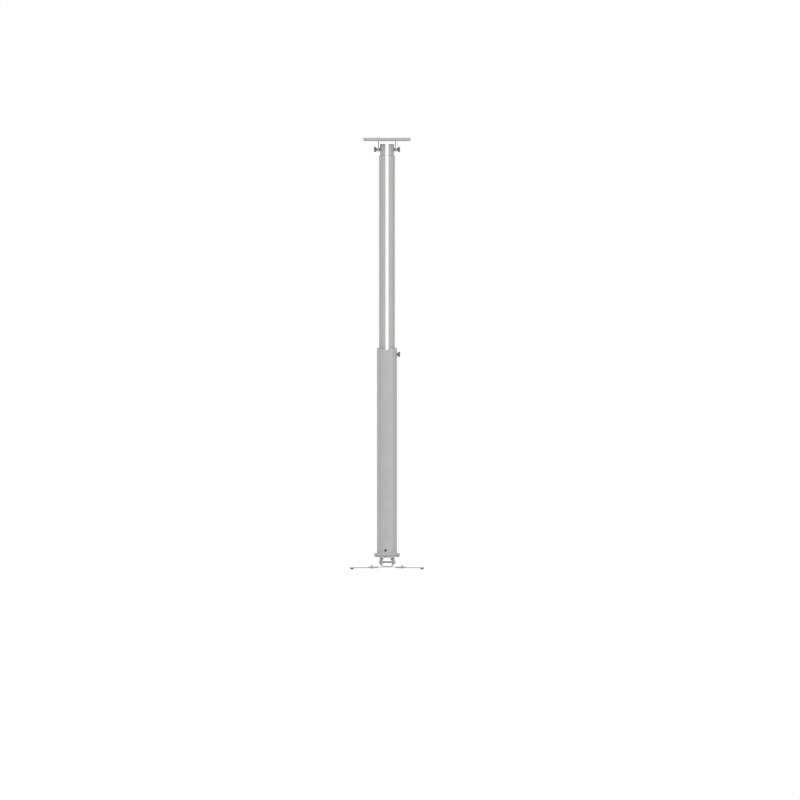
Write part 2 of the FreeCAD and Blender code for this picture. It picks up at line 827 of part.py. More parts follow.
def make_hub_screws():
    """Makes the three button-head screws that hold the tube on the hub."""
    body = new_body("hub_screws")
    section = new_sketch(body, "XY", "hub_screw_level", turn="360 - hub_screw_turn")
    corners = [
        ("0", "-spigot_bore_radius"),
        ("0", "-(tube_radius + hub_screw_height)"),
        ("hub_screw_diameter / 2", "-(tube_radius + hub_screw_height)"),
        ("hub_screw_head / 2", "-tube_radius"),
        ("hub_screw_diameter / 2", "-tube_radius"),
        ("hub_screw_diameter / 2", "-spigot_bore_radius"),
    ]
    outline(section, corners)
    around(body, revolve(body, section), "3")


def make_swivel_yoke():
    """Makes the yoke: a chamfered disc with two cheeks, each with a pivot hole and a curved lock slot."""
    body = new_body("swivel_yoke")
    section = new_sketch(body, "XZ")
    corners = [
        ("sleeve_radius + fit_gap", "disc_under"),
        ("hub_diameter / 2 - disc_chamfer", "disc_under"),
        ("hub_diameter / 2", "disc_under + disc_chamfer"),
        ("hub_diameter / 2", "disc_top"),
        ("sleeve_radius + fit_gap", "disc_top"),
    ]
    outline(section, corners)
    revolve(body, section)

    cheek = new_sketch(body, "YZ", "cheek_inside")
    root = "disc_under + disc_height / 2"
    corners = [
        ("-cheek_root", root),
        ("-cheek_root", "disc_under"),
        ("-cheek_radius", "tilt_level"),
        ("0", "tilt_level - cheek_radius"),
        ("cheek_radius", "tilt_level"),
        ("cheek_root", "disc_under"),
        ("cheek_root", root),
    ]
    outline(cheek, corners, {2: ("cheek_radius", "left"), 3: ("cheek_radius", "left")})
    mirrored(body, pad(body, cheek, "cheek_thickness"), "YZ")

    holes = new_sketch(body, "YZ")
    circle(holes, "tilt_bolt_diameter / 2 + fit_gap", "0", "tilt_level")
    outer = "(lock_radius + slot_half)"
    inner = "(lock_radius - slot_half)"
    lean = "tilt_range"

    def on_arc(radius, side, past="0"):
        along = f"{side} * ({radius} * sin({lean}) + {past} * cos({lean}))"
        return along, f"tilt_level + {radius} * cos({lean}) - {past} * sin({lean})"

    corners = [
        on_arc(outer, -1),
        on_arc(outer, 1),
        on_arc("lock_radius", 1, "slot_half"),
        on_arc(inner, 1),
        on_arc(inner, -1),
        on_arc("lock_radius", -1, "slot_half"),
    ]
    arcs = {
        0: (outer, "right"),
        1: ("slot_half", "right"),
        2: ("slot_half", "right"),
        3: (inner, "left"),
        4: ("slot_half", "right"),
        5: ("slot_half", "right"),
    }
    outline(holes, corners, arcs)
    pocket(body, holes, both=True)


def make_pivot():
    """Makes the hollow pivot of the swivel, its ring nut and the two friction washers."""
    sleeve = new_body("pivot_sleeve")
    section = new_sketch(sleeve, "XZ")
    corners = [
        ("sleeve_bore / 2", "disc_under - sleeve_head_height"),
        ("sleeve_head / 2", "disc_under - sleeve_head_height"),
        ("sleeve_head / 2", "disc_under"),
        ("sleeve_radius", "disc_under"),
        ("sleeve_radius", "ring_nut_top"),
        ("sleeve_bore / 2", "ring_nut_top"),
    ]
    outline(section, corners)
    revolve(sleeve, section)

    nut = ring_piece(
        "ring_nut", "ring_nut_diameter / 2", "sleeve_radius + fit_gap", "ring_nut_under", "ring_nut_height"
    )
    notch = new_sketch(nut, "XY", "ring_nut_top")
    half = "ring_nut_slot / 2"
    rim = "ring_nut_diameter / 2"
    rectangle(notch, f"{rim} - ring_nut_slot_depth", f"{rim} + {PAST}", f"-{half}", half)
    around(nut, pocket(nut, notch), "4")

    bore = "sleeve_radius + run_gap"
    ring_piece("swivel_washer", "hub_diameter / 2 - disc_chamfer", bore, "disc_top", "washer_thickness")
    ring_piece("pivot_washer", "ring_nut_diameter / 2", bore, "floor_top", "washer_thickness")


def make_tilt_bracket():
    """Folds the bracket: a U of sheet with round ears that hang on the tilt bolt."""
    body = new_body("tilt_bracket")
    section = new_sketch(body, "XZ")
    ear_top = "tilt_level + ear_radius"
    outside = "(bend_radius + sheet_thickness)"
    corners = [
        ("-ear_face", ear_top),
        ("-ear_face", f"spider_top + {outside}"),
        (f"-ear_face + {outside}", "spider_top"),
        (f"ear_face - {outside}", "spider_top"),
        ("ear_face", f"spider_top + {outside}"),
        ("ear_face", ear_top),
        ("ear_inside", ear_top),
        ("ear_inside", "base_top + bend_radius"),
        ("ear_inside - bend_radius", "base_top"),
        ("-ear_inside + bend_radius", "base_top"),
        ("-ear_inside", "base_top + bend_radius"),
        ("-ear_inside", ear_top),
    ]
    bends = {number: (outside, "left") for number in (1, 3)}
    bends.update({number: ("bend_radius", "right") for number in (7, 9)})
    outline(section, corners, bends)
    pad(body, section, "2 * ear_radius", both=True)

    trim = new_sketch(body, "YZ")
    corners = [
        ("-ear_radius", "tilt_level"),
        ("0", ear_top),
        ("ear_radius", "tilt_level"),
        (f"ear_radius + {PAST}", "tilt_level"),
        (f"ear_radius + {PAST}", f"{ear_top} + {PAST}"),
        (f"-ear_radius - {PAST}", f"{ear_top} + {PAST}"),
        (f"-ear_radius - {PAST}", "tilt_level"),
    ]
    outline(trim, corners, {0: ("ear_radius", "right"), 1: ("ear_radius", "right")})
    pocket(body, trim, both=True)

    holes = new_sketch(body, "YZ")
    circle(holes, "tilt_bolt_diameter / 2 + run_gap", "0", "tilt_level")
    circle(holes, "small_bolt_diameter / 2 + fit_gap", "0", "tilt_level + lock_radius")
    pocket(body, holes, both=True)
    base = new_sketch(body, "XY", "base_top")
    circle(base, "sleeve_bore / 2")
    pocket(body, base)
    taps = new_sketch(body, "XY", "base_top", turn="45")
    circle(taps, "screw_diameter / 2 + fit_gap", "bracket_screw_radius", "0")
    around(body, pocket(body, taps), "4")


def make_hex_bolt(label, diameter, flats, head, length):
    """Makes a hexagon bolt on its own Z axis, with its head below the origin and its shank above."""
    body = new_body(label)
    top = new_sketch(body, "XY")
    hexagon(top, flats)
    pad(body, top, head, down=True)
    shank = new_sketch(body, "XY")
    circle(shank, f"{diameter} / 2")
    pad(body, shank, length)
    return body


def make_hex_nut(label, diameter, flats, height):
    """Makes a hexagon nut on its own Z axis, standing on the origin."""
    body = new_body(label)
    face = new_sketch(body, "XY")
    hexagon(face, flats)
    circle(face, f"{diameter} / 2 + fit_gap")
    pad(body, face, height)
    return body


def make_tilt_fasteners():
    """Makes the tilt bolt with its washers and nut, and the two lock bolts with theirs."""
    seat = "cheek_face + tilt_washer_thickness"
    length = f"2 * ({seat}) + tilt_nut_height + thread_past"
    bolt = make_hex_bolt("tilt_bolt", "tilt_bolt_diameter", "tilt_bolt_flats", "tilt_bolt_head", length)
    place_across(bolt, f"-({seat})", "tilt_level", 1)
    nut = make_hex_nut("tilt_nut", "tilt_bolt_diameter", "tilt_bolt_flats", "tilt_nut_height")
    place_across(nut, seat, "tilt_level", 1)

    washers = new_body("tilt_washers")
    section = new_sketch(washers, "YZ", "cheek_face")
    circle(section, "tilt_washer_diameter / 2", "0", "tilt_level")
    circle(section, "tilt_bolt_diameter / 2 + fit_gap", "0", "tilt_level")
    mirrored(washers, pad(washers, section, "tilt_washer_thickness"), "YZ")

    level = "tilt_level + lock_radius"
    head_seat = "cheek_face + slide_gap"
    length = f"{head_seat} - ear_inside + small_nut_height"
    small = ("small_bolt_diameter", "small_bolt_flats")
    for side_name, side in (("left", -1), ("right", 1)):
        bolt = make_hex_bolt(f"tilt_lock_bolt_{side_name}", *small, "small_bolt_head", length)
        place_across(bolt, f"-({head_seat})", level, -side)
        nut = make_hex_nut(f"tilt_lock_nut_{side_name}", *small, "small_nut_height")
        place_across(nut, "-ear_inside", level, -side)


def make_spider_plate():
    """Cuts the spider plate, with a round lobe for each arm and hollow sides between them."""
    body = new_body("spider_plate")
    face = new_sketch(body, "XY", "spider_under")
    long_share = "spider_corner / (long_scallop + spider_corner)"
    short_share = "spider_corner / (short_scallop + spider_corner)"
    near_x = f"(lobe_x * (1 - {long_share}))"
    far_y = f"(lobe_y + (long_scallop + scallop_rise) * {long_share})"
    far_x = f"(lobe_x + (short_scallop + scallop_rise) * {short_share})"
    near_y = f"(lobe_y * (1 - {short_share}))"
    corners = [
        (far_x, near_y),
        (near_x, far_y),
        (f"-{near_x}", far_y),
        (f"-{far_x}", near_y),
        (f"-{far_x}", f"-{near_y}"),
        (f"-{near_x}", f"-{far_y}"),
        (near_x, f"-{far_y}"),
        (far_x, f"-{near_y}"),
    ]
    arcs = {number: ("spider_corner", "left") for number in (0, 2, 4, 6)}
    arcs.update({number: ("long_scallop", "right") for number in (1, 5)})
    arcs.update({number: ("short_scallop", "right") for number in (3, 7)})
    outline(face, corners, arcs)
    pad(body, face, "spider_thickness")
    holes = new_sketch(body, "XY", "spider_under")
    circle(holes, "sleeve_bore / 2")
    for side in (-1, 1):
        for end in (-1, 1):
            circle(holes, "small_bolt_diameter / 2 + run_gap", f"{side} * clamp_x", f"{end} * clamp_y")
    pocket(body, holes, up=True)
    screw_holes(body, "bracket_screw_radius", "spider_under", f"spider_thickness + {PAST}", -1)


def make_arm_set(corner, side, end, angle):
    """Makes one arm of the spider with its foot, its clamp bolt and its nut."""
    spot = {"x": f"{side} * clamp_x", "y": f"{end} * clamp_y", "angle": angle}

    arm = new_body(f"spider_arm_{corner}")
    face = new_sketch(arm, "XY")
    slot(face, "arm_width / 2", "-arm_tail + arm_width / 2", "arm_reach")
    slot(face, "arm_slot_half", "-slide_out - arm_slot_half", "slide_in + arm_slot_half")
    circle(face, "foot_bore / 2", "arm_reach", "0")
    pad(arm, face, "arm_thickness")
    place(arm, z="arm_under", **spot)

    foot = new_body(f"arm_foot_{corner}")
    section = new_sketch(foot, "XZ")
    corners = [
        ("foot_bore / 2", "0"),
        ("foot_diameter / 2", "0"),
        ("foot_top / 2", "foot_height"),
        ("foot_bore / 2", "foot_height"),
    ]
    outline(section, corners)
    revolve(foot, section)
    place(foot, f"{side} * feet_x", f"{end} * feet_y", "foot_face", angle=angle)

    bolt = new_body(f"arm_bolt_{corner}")
    shank = "small_bolt_diameter / 2"
    seat = "arm_thickness + slide_gap + spider_thickness + slide_gap"
    height = "small_nut_height + arm_nut_flange_height"
    top = f"{seat} + {height} + thread_past"
    section = new_sketch(bolt, "XZ")
    corners = [
        ("0", "-slide_gap - arm_bolt_height"),
        (shank, "-slide_gap - arm_bolt_height"),
        ("arm_bolt_head / 2", "-slide_gap"),
        (shank, "-slide_gap"),
        (shank, top),
        ("0", top),
    ]
    outline(section, corners)
    revolve(bolt, section)
    neck = new_sketch(bolt, "XY", "-slide_gap")
    side_half = "arm_slot_half - slide_gap"
    rectangle(neck, f"-({side_half})", side_half, f"-({side_half})", side_half)
    pad(bolt, neck, "arm_thickness")
    place(bolt, z="arm_under", **spot)

    nut = make_hex_nut(f"arm_nut_{corner}", "small_bolt_diameter", "small_bolt_flats", height)
    flange = new_sketch(nut, "XY")
    circle(flange, "arm_nut_flange / 2")
    circle(flange, "small_bolt_diameter / 2 + fit_gap")
    pad(nut, flange, "arm_nut_flange_height")
    place(nut, z="spider_top + slide_gap", **spot)


def make_all():
    """Makes every sub-part, from the ceiling down."""
    make_ceiling_plate()
    make_ceiling_socket()
    screw_ring("socket_screws", "socket_screw_radius", "0", "socket_screw_length", 1)
    make_socket_clamp("left", -1)
    make_socket_clamp("right", 1)
    make_inner_rail("inner_rail_left", -1)
    make_inner_rail("inner_rail_right", 1)
    make_end_stop()
    screw_ring("end_stop_screws", "stop_screw_radius", "stop_under", "stop_screw_length", -1)
    make_outer_tube()
    make_top_collar()
    make_lock_insert()
    make_lock_pad()
    make_knob("lock_knob", "lock_knob_seat", "lock_level", 1)
    make_stud("lock_stud", "pad_face + pad_length + fit_gap", "lock_knob_seat", "lock_level", 1)
    make_end_hub()
    make_hub_screws()
    make_swivel_yoke()
    make_pivot()
    make_tilt_bracket()
    make_tilt_fasteners()
    make_spider_plate()
    sheets = "spider_thickness + sheet_thickness"
    screw_ring("bracket_screws", "bracket_screw_radius", "spider_under", sheets, -1)
    make_arm_set("back_right", 1, 1, "arm_angle")
    make_arm_set("back_left", -1, 1, "180 deg - arm_angle")
    make_arm_set("front_left", -1, -1, "180 deg + arm_angle")
    make_arm_set("front_right", 1, -1, "360 deg - arm_angle")


def check_all():
    """Stops if any object failed to rebuild or any sub-part has no sound shape."""
    doc.recompute()
    for item in doc.Objects:
        if "Invalid" in item.State or "Error" in item.State:
            raise RuntimeError(f"{item.Name} ({item.Label}) did not rebuild: {item.State}")
    for body in pieces:
        if body.Shape.isNull() or not body.Shape.isValid() or not body.Shape.Solids:
            raise RuntimeError(f"{body.Label} has no sound shape")


def write_all():
    """Writes each sub-part's shape to a file of its own name."""
    os.makedirs("parts", exist_ok=True)
    for body in pieces:
        body.Shape.exportStep(f"parts/{body.Label}.step")


fill_sheet()
make_all()
check_all()
write_all()
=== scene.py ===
"""Telescopic ceiling mount: the looks of its pieces, its light and its camera."""

import logging
import math
from contextlib import contextmanager
from dataclasses import dataclass
from enum import Enum
from typing import Iterator, Sequence

import bpy
from mathutils import Matrix, Vector


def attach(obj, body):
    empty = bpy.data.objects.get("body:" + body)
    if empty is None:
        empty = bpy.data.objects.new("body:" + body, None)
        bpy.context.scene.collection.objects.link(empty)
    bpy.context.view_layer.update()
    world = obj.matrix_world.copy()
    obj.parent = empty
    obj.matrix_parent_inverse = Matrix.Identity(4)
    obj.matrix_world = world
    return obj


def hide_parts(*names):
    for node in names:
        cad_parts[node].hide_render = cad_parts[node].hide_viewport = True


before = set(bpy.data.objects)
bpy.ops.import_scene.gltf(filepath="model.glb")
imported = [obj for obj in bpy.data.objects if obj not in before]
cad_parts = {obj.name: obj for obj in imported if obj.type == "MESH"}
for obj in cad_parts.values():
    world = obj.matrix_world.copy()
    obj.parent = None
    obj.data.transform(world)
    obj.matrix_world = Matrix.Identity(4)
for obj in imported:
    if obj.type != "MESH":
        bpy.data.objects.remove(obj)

# Sizes are in millimetres, and only the studio is in metres. Places come from the frame's solids.
MM = 0.001
# Two faces that meet at this angle or more, in degrees, make an edge.
EDGE_ANGLE = 35.0
# Two faces that meet at this angle or less, in degrees, make one flat face.
FLAT_ANGLE = 0.5
# A run of edges shorter than this is the rim of a screw hole and stays sharp.
SCREW_RIM = 46.0
# The depth of a metric thread, as a share of its pitch.
THREAD_DEPTH = 0.54
# How far a thread stays off the plain shank beside it.
RUNOUT = 0.3
# How far a piece that cuts or joins another one goes past the face where they meet.
OVERCUT = 1.0
# Corners of a mesh that are closer than this are one corner.
MERGE = 0.002
# The values that most of a noise lies between.
NOISE_RANGE = (0.3, 0.7)

LOG = logging.getLogger("ceiling_mount")

Piece = bpy.types.Object
Point = tuple[float, float]
Profile = list[Point]
Spot = tuple[float, float, float]


class Slot(Enum):
    """The material slots of the record."""

    ALUMINIUM = "coated_aluminium"
    STEEL = "coated_steel"
    KNOB = "knob_plastic"
    COLLAR = "collar_plastic"
    STOP = "stop_plastic"
    NYLON = "nylon"
    FOOT = "foot_plastic"
    BLACK = "black_screws"
    BRASS = "brass_insert"
    ZINC = "zinc_steel"


class Axis(Enum):
    """The direction that a piece's own Z axis is laid along."""

    UP = (0, 0, 1)
    DOWN = (0, 0, -1)
    LEFT = (-1, 0, 0)
    RIGHT = (1, 0, 0)
    FRONT = (0, -1, 0)

    @property
    def way(self) -> Vector:
        """The direction as a vector."""
        return Vector(self.value)

    @property
    def word(self) -> str:
        """The direction in the names of nodes."""
        return self.name.lower()


class Join(Enum):
    """The ways to combine two pieces."""

    CUT = "DIFFERENCE"
    ADD = "UNION"
    KEEP = "INTERSECT"


class Edge(Enum):
    """How far edges are rounded, by the kind of piece."""

    PLATE = 0.6
    CASTING = 0.5
    CUT = 0.4
    RING = 0.35
    SAWN = 0.3
    FITTING = 0.25
    TURNED = 0.2
    FINE = 0.15
    SCREW = 0.12
    BOLT = 0.1
    STUD = 0.08


class Corner(Enum):
    """The corners of the spider, as the names of nodes have them."""

    BACK_RIGHT = "back_right"
    BACK_LEFT = "back_left"
    FRONT_LEFT = "front_left"
    FRONT_RIGHT = "front_right"


# Places


@dataclass(frozen=True)
class Box:
    """The box round a solid of the frame.

    Attributes:
        low: Its least X, Y and Z.
        high: Its greatest X, Y and Z.
    """

    low: Vector
    high: Vector

    @classmethod
    def of(cls, node: str) -> "Box":
        """Measures the solid of a node."""
        sides = list(zip(*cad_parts[node].bound_box))
        return cls(*(Vector([pick(side) for side in sides]) / MM for pick in (min, max)))

    @property
    def middle(self) -> Vector:
        """The middle of the box."""
        return (self.low + self.high) / 2

    def length(self, axis: Axis) -> float:
        """The size of the box along a direction."""
        return abs(axis.way.dot(self.high - self.low))

    def width(self, axis: Axis) -> float:
        """The larger of the two sizes of the box across a direction."""
        sides = (Axis.UP, Axis.RIGHT, Axis.FRONT)
        return max(self.length(side) for side in sides if not side.way.dot(axis.way))

    def foot(self, axis: Axis) -> Vector:
        """The middle of the face that a direction comes in by."""
        return self.middle - axis.way * self.length(axis) / 2


# Modelling


def to_linear(code: str) -> tuple[float, float, float, float]:
    """Turns an sRGB hex colour into linear RGBA.

    Args:
        code: The colour as "#rrggbb".

    Returns:
        The linear red, green and blue, and an alpha of 1.
    """
    parts = (int(code[i:i + 2], 16) / 255 for i in (1, 3, 5))
    red, green, blue = (c / 12.92 if c <= 0.04045 else ((c + 0.055) / 1.055) ** 2.4 for c in parts)
    return red, green, blue, 1.0


def activate(*pieces: Piece) -> None:
    """Selects these pieces and nothing else, with the first one active.

    Args:
        pieces: The pieces to select.
    """
    bpy.ops.object.select_all(action="DESELECT")
    for piece in pieces:
        piece.select_set(True)
    bpy.context.view_layer.objects.active = pieces[0]


@contextmanager
def editing(piece: Piece, whole: bool = True) -> Iterator[None]:
    """Holds a piece in edit mode.

    Args:
        piece: The piece to edit.
        whole: Whether all of it is selected first.
    """
    activate(piece)
    bpy.ops.object.mode_set(mode="EDIT")
    if whole:
        bpy.ops.mesh.select_mode(type="VERT")
        bpy.ops.mesh.select_all(action="SELECT")
    yield
    bpy.ops.object.mode_set(mode="OBJECT")


def discard(*pieces: Piece) -> None:
    """Deletes pieces that are used up, with their meshes."""
    for piece in pieces:
        bpy.data.meshes.remove(piece.data)


def turned(profile: Profile, sides: int = 64, ring: bool = False) -> Piece:
    """Turns a piece about the Z axis, by extruding a circle from point to point of its section.

    Args:
        profile: The section's radius and level at each point.
        sides: How many sides the circle has.
        ring: Whether the last point joins the first. If not, both ends are filled.

    Returns:
        The closed piece.
    """
    bpy.ops.object.select_all(action="DESELECT")
    (radius, level), *rest = profile
    bpy.ops.mesh.primitive_circle_add(vertices=sides, radius=radius * MM)
    piece = bpy.context.active_object
    with editing(piece):
        bpy.ops.transform.translate(value=(0, 0, level * MM))
        for next_radius, next_level in rest:
            step = (0, 0, (next_level - level) * MM)
            bpy.ops.mesh.extrude_region_move(TRANSFORM_OT_translate={"value": step})
            grow = next_radius / radius
            bpy.ops.transform.resize(value=(grow, grow, 1), center_override=(0, 0, next_level * MM))
            radius, level = next_radius, next_level
        bpy.ops.mesh.select_all(action="DESELECT")
        bpy.ops.mesh.select_non_manifold()
        if ring:
            bpy.ops.mesh.bridge_edge_loops()
        else:
            bpy.ops.mesh.fill_holes(sides=0)
        bpy.ops.mesh.select_all(action="SELECT")
        bpy.ops.mesh.normals_make_consistent(inside=False)
    return piece


def curve(start: Point, corner: Point, end: Point, steps: int = 2) -> Profile:
    """Draws a round stretch of a section, which leans towards a corner between its ends.

    Args:
        start: The point where it starts.
        corner: The point where the lines along its two ends meet.
        end: The point where it ends.
        steps: How many straight pieces it has.

    Returns:
        Its points, from start to end.
    """
    points = []
    for share in (step / steps for step in range(steps + 1)):
        first, second = (Vector(a).lerp(b, share) for a, b in ((start, corner), (corner, end)))
        points.append(tuple(first.lerp(second, share)))
    return points


def thread(radius: float, pitch: float, low: float, high: float) -> Profile:
    """Draws a screw thread's section, with its turns as close rings.

    Args:
        radius: The crests' radius.
        pitch: The distance from crest to crest.
        low: The level where the thread starts.
        high: The level where it ends.

    Returns:
        The section's points, from low to high.
    """
    root = radius - THREAD_DEPTH * pitch
    count = max(1, int((high - low) / pitch))
    step = (high - low) / count
    points = [(root, low)]
    for number in range(count):
        points.append((radius, low + (number + 0.5) * step))
        points.append((root, low + (number + 1) * step))
    return points


def prism(sides: int, across: float, low: float, high: float) -> Piece:
    """Makes a prism on the Z axis from its width across flats, with a corner towards +Y."""
    radius = across / 2 / math.cos(math.pi / sides)
    return turned([(radius, low), (radius, high)], sides)


def washer(
    node: str, axis: Axis, bore: float, edge: Edge, sides: int = 64, height: float = 0.0
) -> Piece:
    """Makes a plain ring in the size of a solid, with rounded edges, standing on level 0.

    Args:
        node: The solid.
        axis: The direction of the solid's axis.
        bore: The diameter of the bore.
        edge: How far the edges are rounded.
        sides: How many sides the ring has.
        height: Its height, if that isn't the solid's.

    Returns:
        The ring, on the Z axis.
    """
    box = Box.of(node)
    inner, outer, top = bore / 2, box.width(axis) / 2, height or box.length(axis)
    section = [(inner, 0), (outer, 0), (outer, top), (inner, top)]
    return eased(turned(section, sides, ring=True), edge)


def combine(piece: Piece, way: Join, other: Piece) -> Piece:
    """Combines a piece with another one, which is used up.

    Args:
        piece: The piece that is changed.
        way: How they are combined.
        other: The piece to combine it with.

    Returns:
        The changed piece.
    """
    modifier = piece.modifiers.new("combine", "BOOLEAN")
    modifier.operation = way.value
    modifier.object = other
    modifier.solver = "EXACT"
    activate(piece)
    bpy.ops.object.modifier_apply(modifier=modifier.name)
    discard(other)
    with editing(piece):
        bpy.ops.mesh.remove_doubles(threshold=MERGE * MM)
    return piece


def eased(piece: Piece, edge: Edge, steps: int = 2, least: float = 0.0) -> Piece:
    """Rounds a piece's edges and shades the rest smooth.

    Args:
        piece: The piece to finish.
        edge: How far each edge is rounded.
        steps: How many faces each rounding has.
        least: The length of the shortest run of edges that is rounded, or 0 for all.

    Returns:
        The finished piece.
    """
    with editing(piece):
        bpy.ops.mesh.select_mode(type="EDGE")
        bpy.ops.mesh.select_all(action="DESELECT")
        bpy.ops.mesh.edges_select_sharp(sharpness=math.radians(EDGE_ANGLE))
    if least:
        keep_long_runs(piece, least)
    with editing(piece, whole=False):
        bpy.ops.mesh.bevel(
            offset=edge.value * MM,
            segments=steps,
            affect="EDGES",
            clamp_overlap=False,
            miter_outer="ARC",
        )
    return shaded(piece)


def keep_long_runs(piece: Piece, least: float) -> None:
    """Deselects the selected edges that belong to a short run, such as the rim of a small hole.

    Args:
        piece: The piece, with edges selected.
        least: The length of the shortest run that stays selected.
    """
    mesh = piece.data
    chosen = [edge for edge in mesh.edges if edge.select]
    run_of = {vertex: vertex for edge in chosen for vertex in edge.vertices}

    def run(vertex: int) -> int:
        """Finds a run.

        Args:
            vertex: A vertex on it.

        Returns:
            The vertex that stands for it.
        """
        while run_of[vertex] != vertex:
            vertex = run_of[vertex]
        return vertex

    for edge in chosen:
        run_of[run(edge.vertices[0])] = run(edge.vertices[1])
    lengths: dict[int, float] = {}
    for edge in chosen:
        start, end = (mesh.vertices[vertex].co for vertex in edge.vertices)
        key = run(edge.vertices[0])
        lengths[key] = lengths.get(key, 0.0) + (end - start).length
    for edge in chosen:
        edge.select = lengths[run(edge.vertices[0])] >= least * MM


def shaded(piece: Piece) -> Piece:
    """Shades a piece smooth but for its edges, with its flat faces kept flat.

    Args:
        piece: The piece to shade.

    Returns:
        The shaded piece.
    """
    activate(piece)
    bpy.ops.object.shade_smooth_by_angle(angle=math.radians(EDGE_ANGLE))
    modifier = piece.modifiers.new("even", "WEIGHTED_NORMAL")
    modifier.keep_sharp = True
    bpy.ops.object.modifier_apply(modifier=modifier.name)
    return piece


def laid(
    piece: Piece, axis: Axis = Axis.UP, at: Sequence[float] = (0, 0, 0), turn: float = 0.0
) -> Piece:
    """Lays a piece's own Z axis along a direction and moves it into place, in its mesh.

    Args:
        piece: The piece, modelled on the Z axis.
        axis: Where its Z axis points.
        at: Where its own origin goes.
        turn: How far the laid piece is then turned about the column's axis, in degrees.

    Returns:
        The placed piece.
    """
    if axis is Axis.UP:
        lay = Matrix.Identity(4)
    elif axis is Axis.DOWN:
        lay = Matrix.Rotation(math.pi, 4, "X")
    else:
        lay = axis.way.to_track_quat("Z", "Y").to_matrix().to_4x4()
    move = Matrix.Translation(Vector(at) * MM)
    piece.matrix_world = Matrix.Rotation(math.radians(turn), 4, "Z") @ move @ lay
    activate(piece)
    bpy.ops.object.transform_apply(location=True, rotation=True, scale=True)
    return piece


def copied(piece: Piece) -> Piece:
    """Copies a piece with a mesh of its own.

    Args:
        piece: The piece to copy.

    Returns:
        The copy.
    """
    activate(piece)
    bpy.ops.object.duplicate(linked=False)
    return bpy.context.active_object


def joined(pieces: list[Piece]) -> Piece:
    """Joins pieces into the first one.

    Args:
        pieces: The pieces to join.

    Returns:
        The joined piece.
    """
    activate(*pieces)
    bpy.ops.object.join()
    return pieces[0]


# Materials


def add_node(tree: bpy.types.NodeTree, kind: str, settings: dict, links: dict) -> bpy.types.Node:
    """Adds a node with its settings and links.

    Args:
        tree: The material's node tree.
        kind: The node's type.
        settings: Attributes of the node, or values of its input sockets, by name.
        links: Output sockets that feed its input sockets, by the input's name or number.

    Returns:
        The node.
    """
    node = tree.nodes.new(kind)
    for name, value in settings.items():
        if hasattr(node, name):
            setattr(node, name, value)
        else:
            node.inputs[name].default_value = value
    for name, output in links.items():
        tree.links.new(output, node.inputs[name])
    return node


@dataclass(frozen=True)
class Finish:
    """A surface whose colour, gloss and grain vary a little over the piece.

    Attributes:
        name: The material's name.
        low: The darker of its two colours.
        high: The lighter of its two colours.
        patch: The size of its cloudy colour changes.
        grain: The size of its surface grain.
        relief: The depth of the grain.
        rough: The lowest and the highest roughness.
        metallic: 1 for bare metal and 0 for the rest.
        ior: The refractive index of what isn't metal.
        mottle: How far the grain shows in the colour and the gloss, from 0 to 1.
        soft: How much light goes in for about a millimetre, from 0 to 1.
    """

    name: str
    low: str
    high: str
    patch: float
    grain: float
    relief: float
    rough: tuple[float, float]
    metallic: float = 0.0
    ior: float = 1.5
    mottle: float = 0.4
    soft: float = 0.0

    def material(self) -> bpy.types.Material:
        """Makes the material, or finds it if it is made already.

        Returns:
            The material.
        """
        if self.name in bpy.data.materials:
            return bpy.data.materials[self.name]
        material = bpy.data.materials.new(self.name)
        material.use_nodes = True
        tree = material.node_tree
        shader = tree.nodes["Principled BSDF"]
        shader.inputs["Metallic"].default_value = self.metallic
        if not self.metallic:
            shader.inputs["IOR"].default_value = self.ior
        if self.soft:
            shader.inputs["Subsurface Weight"].default_value = self.soft
            shader.inputs["Subsurface Scale"].default_value = MM
        place = add_node(tree, "ShaderNodeTexCoord", {}, {}).outputs["Object"]
        noises = []
        for size, detail in ((self.patch, 3.0), (self.grain, 2.0)):
            settings = {"Scale": 1 / (size * MM), "Detail": detail}
            noise = add_node(tree, "ShaderNodeTexNoise", settings, {"Vector": place})
            noises.append(noise.outputs["Fac"])
        cloud, grain = noises
        mix = add_node(tree, "ShaderNodeMix", {"Factor": self.mottle}, {2: cloud, 3: grain})
        tone = mix.outputs[0]
        ramp = add_node(tree, "ShaderNodeValToRGB", {}, {"Fac": tone})
        ends = zip(ramp.color_ramp.elements, NOISE_RANGE, (self.low, self.high))
        for end, position, colour in ends:
            end.position, end.color = position, to_linear(colour)
        ranges = dict(zip(("From Min", "From Max", "To Min", "To Max"), NOISE_RANGE + self.rough))
        gloss = add_node(tree, "ShaderNodeMapRange", ranges, {"Value": tone})
        bump = add_node(tree, "ShaderNodeBump", {"Distance": self.relief * MM}, {"Height": grain})
        tree.links.new(ramp.outputs["Color"], shader.inputs["Base Color"])
        tree.links.new(gloss.outputs["Result"], shader.inputs["Roughness"])
        tree.links.new(bump.outputs["Normal"], shader.inputs["Normal"])
        return material


# Light grey polyester powder coat, baked on: an even satin skin with a fine orange peel.
# The peel of about 0.8 mm is drawn at 1.4 mm and three times as deep, so that it shows.
POWDER_COAT = {
    "low": "#b6b7b6",
    "high": "#c0c1c0",
    "patch": 60,
    "grain": 1.4,
    "relief": 0.12,
    "rough": (0.38, 0.5),
}

